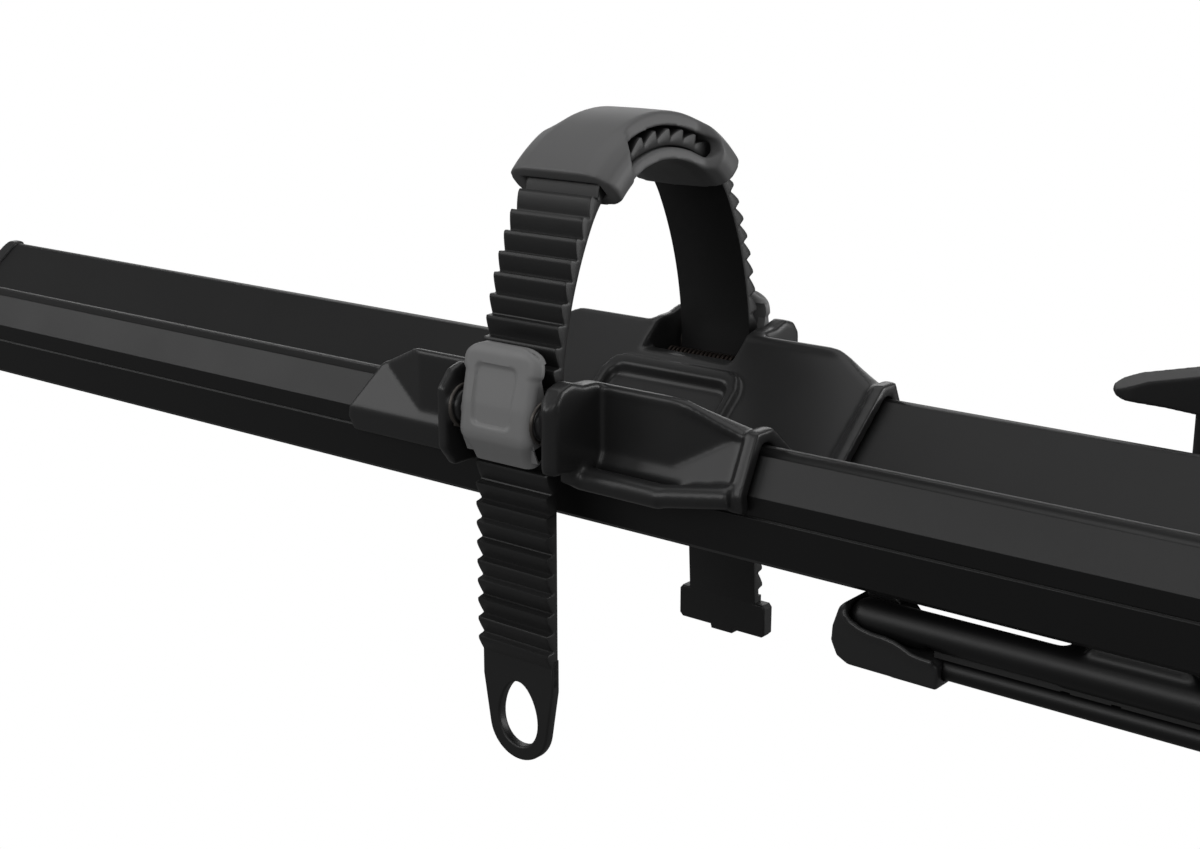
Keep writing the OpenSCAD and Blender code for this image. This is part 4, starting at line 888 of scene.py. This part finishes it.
class CARRIER_OT_studio(bpy.types.Operator):
    """Makes the pale floor, the soft lights and the camera"""
    bl_idname = "carrier.studio"
    bl_label = "Studio"

    def execute(self, context):
        studio = context.scene.carrier_studio
        context.scene.view_settings.view_transform = "Standard"
        self.camera(context.scene, studio.lens)
        self.floor(studio.floor_glow)
        self.world(context.scene, studio.ambient)
        for name, place, size, power in (
            ("Overhead Light", (-0.2, 0.1, 1.7), (2.0, 2.0), studio.over_power),
            ("Front Light", (-0.5, -2.0, 0.9), (1.2, 1.0), studio.front_power),
            ("Left Light", (-1.7, -1.2, 0.9), (1.2, 1.0), studio.left_power),
            ("Back Light", (-1.45, 1.75, 0.8), (2.4, 0.7), studio.back_power),
            ("Right Light", (1.3, 1.1, 0.25), (1.2, 1.0), studio.right_power),
            ("Fill Light", (1.2, -1.4, 0.8), (1.2, 1.0), studio.fill_power),
        ):
            data = bpy.data.lights.new(name, "AREA")
            data.shape = "RECTANGLE"
            data.size, data.size_y = size
            data.energy = power
            light = linked(name, data)
            light.location = place
            pointed(light, AIM - Vector(place))
        return {"FINISHED"}

    def camera(self, scene, lens):
        """The photograph's view."""
        camera = linked("Camera", bpy.data.cameras.new("Camera"))
        camera.data.sensor_fit = "HORIZONTAL"
        camera.data.sensor_width = 36.0
        camera.data.lens = lens
        camera.data.clip_start = 0.01
        camera.data.clip_end = 100.0
        azimuth, elevation = math.radians(AZIMUTH), math.radians(ELEVATION)
        camera.location = (CAMERA_X, CAMERA_Y, CAMERA_Z + RIDGE * MM)
        pointed(camera, Vector((-math.sin(azimuth) * math.cos(elevation),
                                math.cos(azimuth) * math.cos(elevation), -math.sin(elevation))))
        scene.camera = camera

    def floor(self, glow):
        """White to the eye, with a dim glow on the object that stands over it."""
        w = FLOOR_HALF
        mesh = mesh_of("Floor", [(x, y, FLOOR_Z) for x, y in ((-w, -w), (w, -w), (w, w), (-w, w))],
                       [(0, 1, 2, 3)])
        material = bpy.data.materials.new("Floor")
        material.use_nodes = True
        tree = material.node_tree
        tree.nodes.remove(tree.nodes["Principled BSDF"])
        white_to_camera(tree, "ShaderNodeEmission", "Material Output", glow)
        mesh.materials.append(material)
        linked("Floor", mesh)

    def world(self, scene, ambient):
        """White behind everything, with a dim light from all round."""
        scene.world = bpy.data.worlds.new("Studio")
        scene.world.use_nodes = True
        tree = scene.world.node_tree
        tree.nodes.remove(tree.nodes["Background"])
        white_to_camera(tree, "ShaderNodeBackground", "World Output", ambient)


class CARRIER_OT_node_finishes(bpy.types.Operator):
    """Gives every CAD node its finish"""
    bl_idname = "carrier.node_finishes"
    bl_label = "Node Finishes"

    def execute(self, context):
        finishes = {
            "black_metal": powder_coat, "black_plastic": black_plastic, "black_rubber": soft_rubber,
            "strap_rubber": strap_rubber, "grey_plastic": pad_plastic, "plated_wire": plated_wire,
            "zinc_steel": zinc_steel, "brass": brass,
        }
        slots = {part["node"]: part["material_slot"] for part in frame["record"]["subparts"]}
        for node, piece in NODES.items():
            piece.data.materials.clear()
            piece.data.materials.append(finishes[slots[node]]())
        return {"FINISHED"}


# The round crest that touches a ridge's top, its inner slope and its flank: where it
# stands across, its radius, how far it stays inside both, and its inset at the ends
CREST_Y, CREST_R, CREST_IN, CREST_END = 30.585, 2.77, 0.01, 0.0002


class CARRIER_OT_tray(bpy.types.Operator):
    """Eases the edges of the tray and moulds its end caps"""
    bl_idname = "carrier.tray"
    bl_label = "Tray and End Caps"

    def execute(self, context):
        width = context.scene.carrier_sizes.extrusion_edge
        add_piece("tray_extrusion", eased("wheel_tray", "tray_extrusion", width), "tray",
                  powder_coat(), "black_metal", "wheel_tray", smooth=False)
        low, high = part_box("wheel_tray")
        ends = (low.x + CREST_END, high.x - CREST_END)
        crests = [bent_rod([(x / MM, across * CREST_Y, RIDGE - CREST_R) for x in ends],
                           CREST_R - CREST_IN, 64) for across in (-1, 1)]
        add_piece("tray_crests", joined("tray_crests", crests), "tray",
                  powder_coat(), "black_metal")
        for side in ("rear", "front"):
            node = side + "_end_cap"
            add_piece(side + "_cap", moulded(node, side + "_cap", 0.0006, 6, 0.3), "tray",
                      black_plastic(), "black_plastic", node)
        return {"FINISHED"}


# The clamp's tubes: across, up from the crossbar seat, and radius
TUBE_Y, TUBE_Z, TUBE_R = 30.0, 5.15, 4.8
# The raised flats on the tubes: both ends along from the seat, and how far they go back
FLAT_X, FLAT_BACK = (-56.0, -20.0), 3.2
# The jaw's hinge along from the seat, and the outer wall of its blocks with the rim on
# top: along from the hinge and up
HINGE_X, WALL, RIM_R = -109.0, 1.2, 0.95
BLOCK_RIM = ((-3.6, 6.6), (-2.2, 4.9), (0.6, 3.6), (4.0, 2.9), (8.0, 2.7), (11.0, 2.2),
             (13.6, 1.2), (16.0, 0.2), (21.6, -0.2))


def clamp_tube_tools(seat_x):
    """Cutters that set the raised flats back, and rods that restore the tubes."""
    cut, added = [], []
    near, far = (seat_x + x for x in FLAT_X)
    for across in (-1, 1):
        sides = sorted((across * (TUBE_Y + TUBE_R - FLAT_BACK), across * (TUBE_Y + TUBE_R + 1)))
        cut.append(block((near, sides[0], TUBE_Z - 1), (far, sides[1], TUBE_Z + 12)))
        added.append(bent_rod([(seat_x + x, across * TUBE_Y, TUBE_Z)
                               for x in (FLAT_X[0] - 1, FLAT_X[1] + 1)], TUBE_R, 40))
    return cut, added


def jaw_block_tools(seat_x):
    """Rods that round the top edges of the jaw blocks' outer walls."""
    added = [bent_rod([(seat_x + HINGE_X + x, across * (TUBE_Y + TUBE_R + WALL), z)
                       for x, z in BLOCK_RIM], RIM_R) for across in (-1, 1)]
    return (), added


class CARRIER_OT_clamps(bpy.types.Operator):
    """Moulds the crossbar clamps: frames, jaws, blocks and knobs"""
    bl_idname = "carrier.clamps"
    bl_label = "Crossbar Clamps"

    def execute(self, context):
        for side, seat_x in SEATS.items():
            for node, body, look, slot, voxel, rounds, keep, tools in (
                ("clamp_frame", "tray", powder_coat, "black_metal",
                 0.0006, 22, 0.25, clamp_tube_tools),
                ("clamp_jaw", side + "_jaw", powder_coat, "black_metal",
                 0.0005, 16, 0.25, None),
                ("jaw_blocks", side + "_jaw", black_plastic, "black_plastic",
                 0.00035, 26, 0.25, jaw_block_tools),
                ("clamp_knob", side + "_knob", knob_plastic, "black_plastic",
                 0.0004, 6, 0.35, None),
            ):
                cad = side + "_" + node
                cut, added = tools(seat_x) if tools else ((), ())
                mesh = moulded(cad, cad + "_skin", voxel, rounds, keep, added, cut)
                add_piece(cad + "_skin", mesh, body, look(), slot, cad)
        return {"FINISHED"}


# Rim along the top of a pocket's wall: along, across and up from the strap, and radius
RIM_PATH = ((17.0, 37.5, 8.6, 1.9), (46.0, 37.5, 8.6, 1.9), (49.0, 37.2, 8.2, 1.85),
            (52.5, 36.5, 6.9, 1.7), (58.0, 35.2, 4.4, 1.45), (65.0, 33.6, 1.7, 1.2))
# The front ears: both faces along, the front face across, its rounding, and where the
# ears end over the rails
EAR_X, EAR_Y, EAR_ROUND, EAR_FOOT = (16.5, 22.0), 59.5, 1.9, -11.4


def saddle_tools(x0):
    """Cutters that end each front ear above its rail and ease its front edges, and
    a round rim for each pocket."""
    cut, added = [], []
    for across in (-1, 1):
        sides = sorted((across * 50.4, across * 62.0))
        cut.append(block((x0 + 15.9, sides[0], RIDGE - 20),
                         (x0 + 22.8, sides[1], RIDGE + EAR_FOOT)))
        for x, inward in zip(EAR_X, (1, -1)):
            corner = [(x - inward, EAR_Y + 1), (x + inward * (EAR_ROUND + 1), EAR_Y + 1),
                      (x - inward, EAR_Y - EAR_ROUND - 1)]
            rings = [[(x0 + cx, across * cy, RIDGE + z) for cx, cy in corner]
                     for z in (-14.0, 16.0)]
            cut.append(mesh_of("corner", *ring_tube(rings)))
        added.append(bent_rod([(x0 + x, across * y, RIDGE + z) for x, y, z, _ in RIM_PATH],
                              [r for _, _, _, r in RIM_PATH]))
    return cut, added


class CARRIER_OT_saddles(bpy.types.Operator):
    """Moulds the two wheel saddles"""
    bl_idname = "carrier.saddles"
    bl_label = "Wheel Saddles"

    def execute(self, context):
        voxel = context.scene.carrier_sizes.saddle_round
        for side, x0 in HOLDERS.items():
            name = side + "_saddle_moulding"
            cut, added = saddle_tools(x0)
            mesh = moulded(side + "_saddle", name, voxel, 16, 0.3, added, cut)
            add_piece(name, mesh, side + "_holder", black_plastic(), "black_plastic",
                      side + "_saddle")
        return {"FINISHED"}


class CARRIER_OT_straps(bpy.types.Operator):
    """Builds the toothed straps with their pull tabs and end stops"""
    bl_idname = "carrier.straps"
    bl_label = "Wheel Straps"

    def execute(self, context):
        for side, x0 in HOLDERS.items():
            points, faces = strap_band(context.scene.carrier_sizes)
            band = mesh_of("band", [(x0 + x, y, RIDGE + z) for x, y, z in points], faces)
            whole = joined(side + "_strap_moulding", [band, pull_tab(x0), end_stop(x0)])
            add_piece(side + "_strap_moulding", whole, side + "_holder", strap_rubber(),
                      "strap_rubber", side + "_strap")
            whole.set_sharp_from_angle(angle=math.radians(38))
        return {"FINISHED"}


class CARRIER_OT_strap_pads(bpy.types.Operator):
    """Moulds the grey pads round the tops of the straps"""
    bl_idname = "carrier.strap_pads"
    bl_label = "Strap Pads"

    def execute(self, context):
        for side, x0 in HOLDERS.items():
            name = side + "_pad_moulding"
            mesh = strap_pad_mesh(name, x0, context.scene.carrier_sizes.pad_round)
            add_piece(name, mesh, side + "_pad", pad_plastic(), "grey_plastic", side + "_strap_pad")
        return {"FINISHED"}


class CARRIER_OT_levers(bpy.types.Operator):
    """Builds the four buckle levers"""
    bl_idname = "carrier.levers"
    bl_label = "Buckle Levers"

    def execute(self, context):
        for side, x0 in HOLDERS.items():
            for which, sign, bite in (("near", -1, 1.6), ("far", 1, 0.0)):
                body = side + "_" + which
                mesh = lever_mesh(body + "_lever_moulding", x0, sign, bite)
                add_piece(body + "_lever_moulding", mesh, body, lever_plastic(), "grey_plastic",
                          body + "_lever")
                mesh.set_sharp_from_angle(angle=math.radians(40))
        return {"FINISHED"}


class CARRIER_OT_springs(bpy.types.Operator):
    """Winds the lever springs and the guide springs"""
    bl_idname = "carrier.springs"
    bl_label = "Springs"

    def execute(self, context):
        for side, x0 in HOLDERS.items():
            body = side + "_holder"
            levers = [coil_mesh((x0, across * LEVER_PIN_Y, RIDGE + LEVER_PIN_Z), LEVER_COIL,
                                (along, across)) for across in (-1, 1) for along in (-1, 1)]
            add_piece(side + "_lever_coils", joined(side + "_lever_coils", levers), body,
                      plated_wire(), "plated_wire", side + "_lever_springs")
            guides = [coil_mesh((x0, across * GUIDE_Y, RIDGE + GUIDE_Z), GUIDE_COIL, (1, across))
                      for across in (-1, 1)]
            add_piece(side + "_guide_coils", joined(side + "_guide_coils", guides), body,
                      dark_wire(), "plated_wire", side + "_guide_springs")
        return {"FINISHED"}


class CARRIER_OT_frame_holder(bpy.types.Operator):
    """Moulds the folding frame holder and its jaws"""
    bl_idname = "carrier.frame_holder"
    bl_label = "Frame Holder"

    def execute(self, context):
        for node, body, look, slot, voxel, rounds, keep in (
            ("arm_base", "tray", powder_coat, "black_metal", 0.0008, 6, 0.25),
            ("arm_foot", "arm", powder_coat, "black_metal", 0.0008, 6, 0.25),
            ("arm_head", "arm", powder_coat, "black_metal", 0.0008, 6, 0.25),
            ("left_jaw", "left_claw", powder_coat, "black_metal", 0.0007, 8, 0.25),
            ("right_jaw", "right_claw", powder_coat, "black_metal", 0.0007, 8, 0.25),
            ("left_rubber", "left_claw", soft_rubber, "black_rubber", 0.0006, 4, 0.25),
            ("right_rubber", "right_claw", soft_rubber, "black_rubber", 0.0006, 4, 0.25),
            ("torque_knob", "torque_wheel", black_plastic, "black_plastic", 0.0007, 8, 0.25),
        ):
            mesh = moulded(node, node + "_skin", voxel, rounds, keep)
            add_piece(node + "_skin", mesh, body, look(), slot, node)
        return {"FINISHED"}


class CARRIER_PT_panel(bpy.types.Panel):
    """Lists the steps and the settings"""
    bl_idname = "CARRIER_PT_panel"
    bl_label = "Bike Carrier"
    bl_space_type = "VIEW_3D"
    bl_region_type = "UI"
    bl_category = "Bike Carrier"

    def draw(self, context):
        for name, _ in GROUPS_OF_SETTINGS:
            group, box = getattr(context.scene, name), self.layout.box()
            for key in group.__annotations__:
                box.prop(group, key)
        column = self.layout.column(align=True)
        for step in STEPS:
            column.operator(step.bl_idname)


STEPS = (
    CARRIER_OT_studio, CARRIER_OT_node_finishes, CARRIER_OT_tray, CARRIER_OT_clamps,
    CARRIER_OT_saddles, CARRIER_OT_straps, CARRIER_OT_strap_pads, CARRIER_OT_levers,
    CARRIER_OT_springs, CARRIER_OT_frame_holder,
)
GROUPS_OF_SETTINGS = (
    ("carrier_sizes", CarrierSizes),
    ("carrier_finish", CarrierFinish),
    ("carrier_studio", StudioSettings),
)


def register():
    """Adds the settings, the steps and the panel."""
    for name, group in GROUPS_OF_SETTINGS:
        bpy.utils.register_class(group)
        setattr(bpy.types.Scene, name, bpy.props.PointerProperty(type=group))
    for step in STEPS + (CARRIER_PT_panel,):
        bpy.utils.register_class(step)


def unregister():
    """Takes them away again."""
    for step in (CARRIER_PT_panel,) + STEPS[::-1]:
        bpy.utils.unregister_class(step)
    for name, group in GROUPS_OF_SETTINGS[::-1]:
        delattr(bpy.types.Scene, name)
        bpy.utils.unregister_class(group)


def main():
    """Runs every step in order."""
    register()
    for step in STEPS:
        family, name = step.bl_idname.split(".")
        getattr(getattr(bpy.ops, family), name)()


if __name__ == "__main__":
    main()
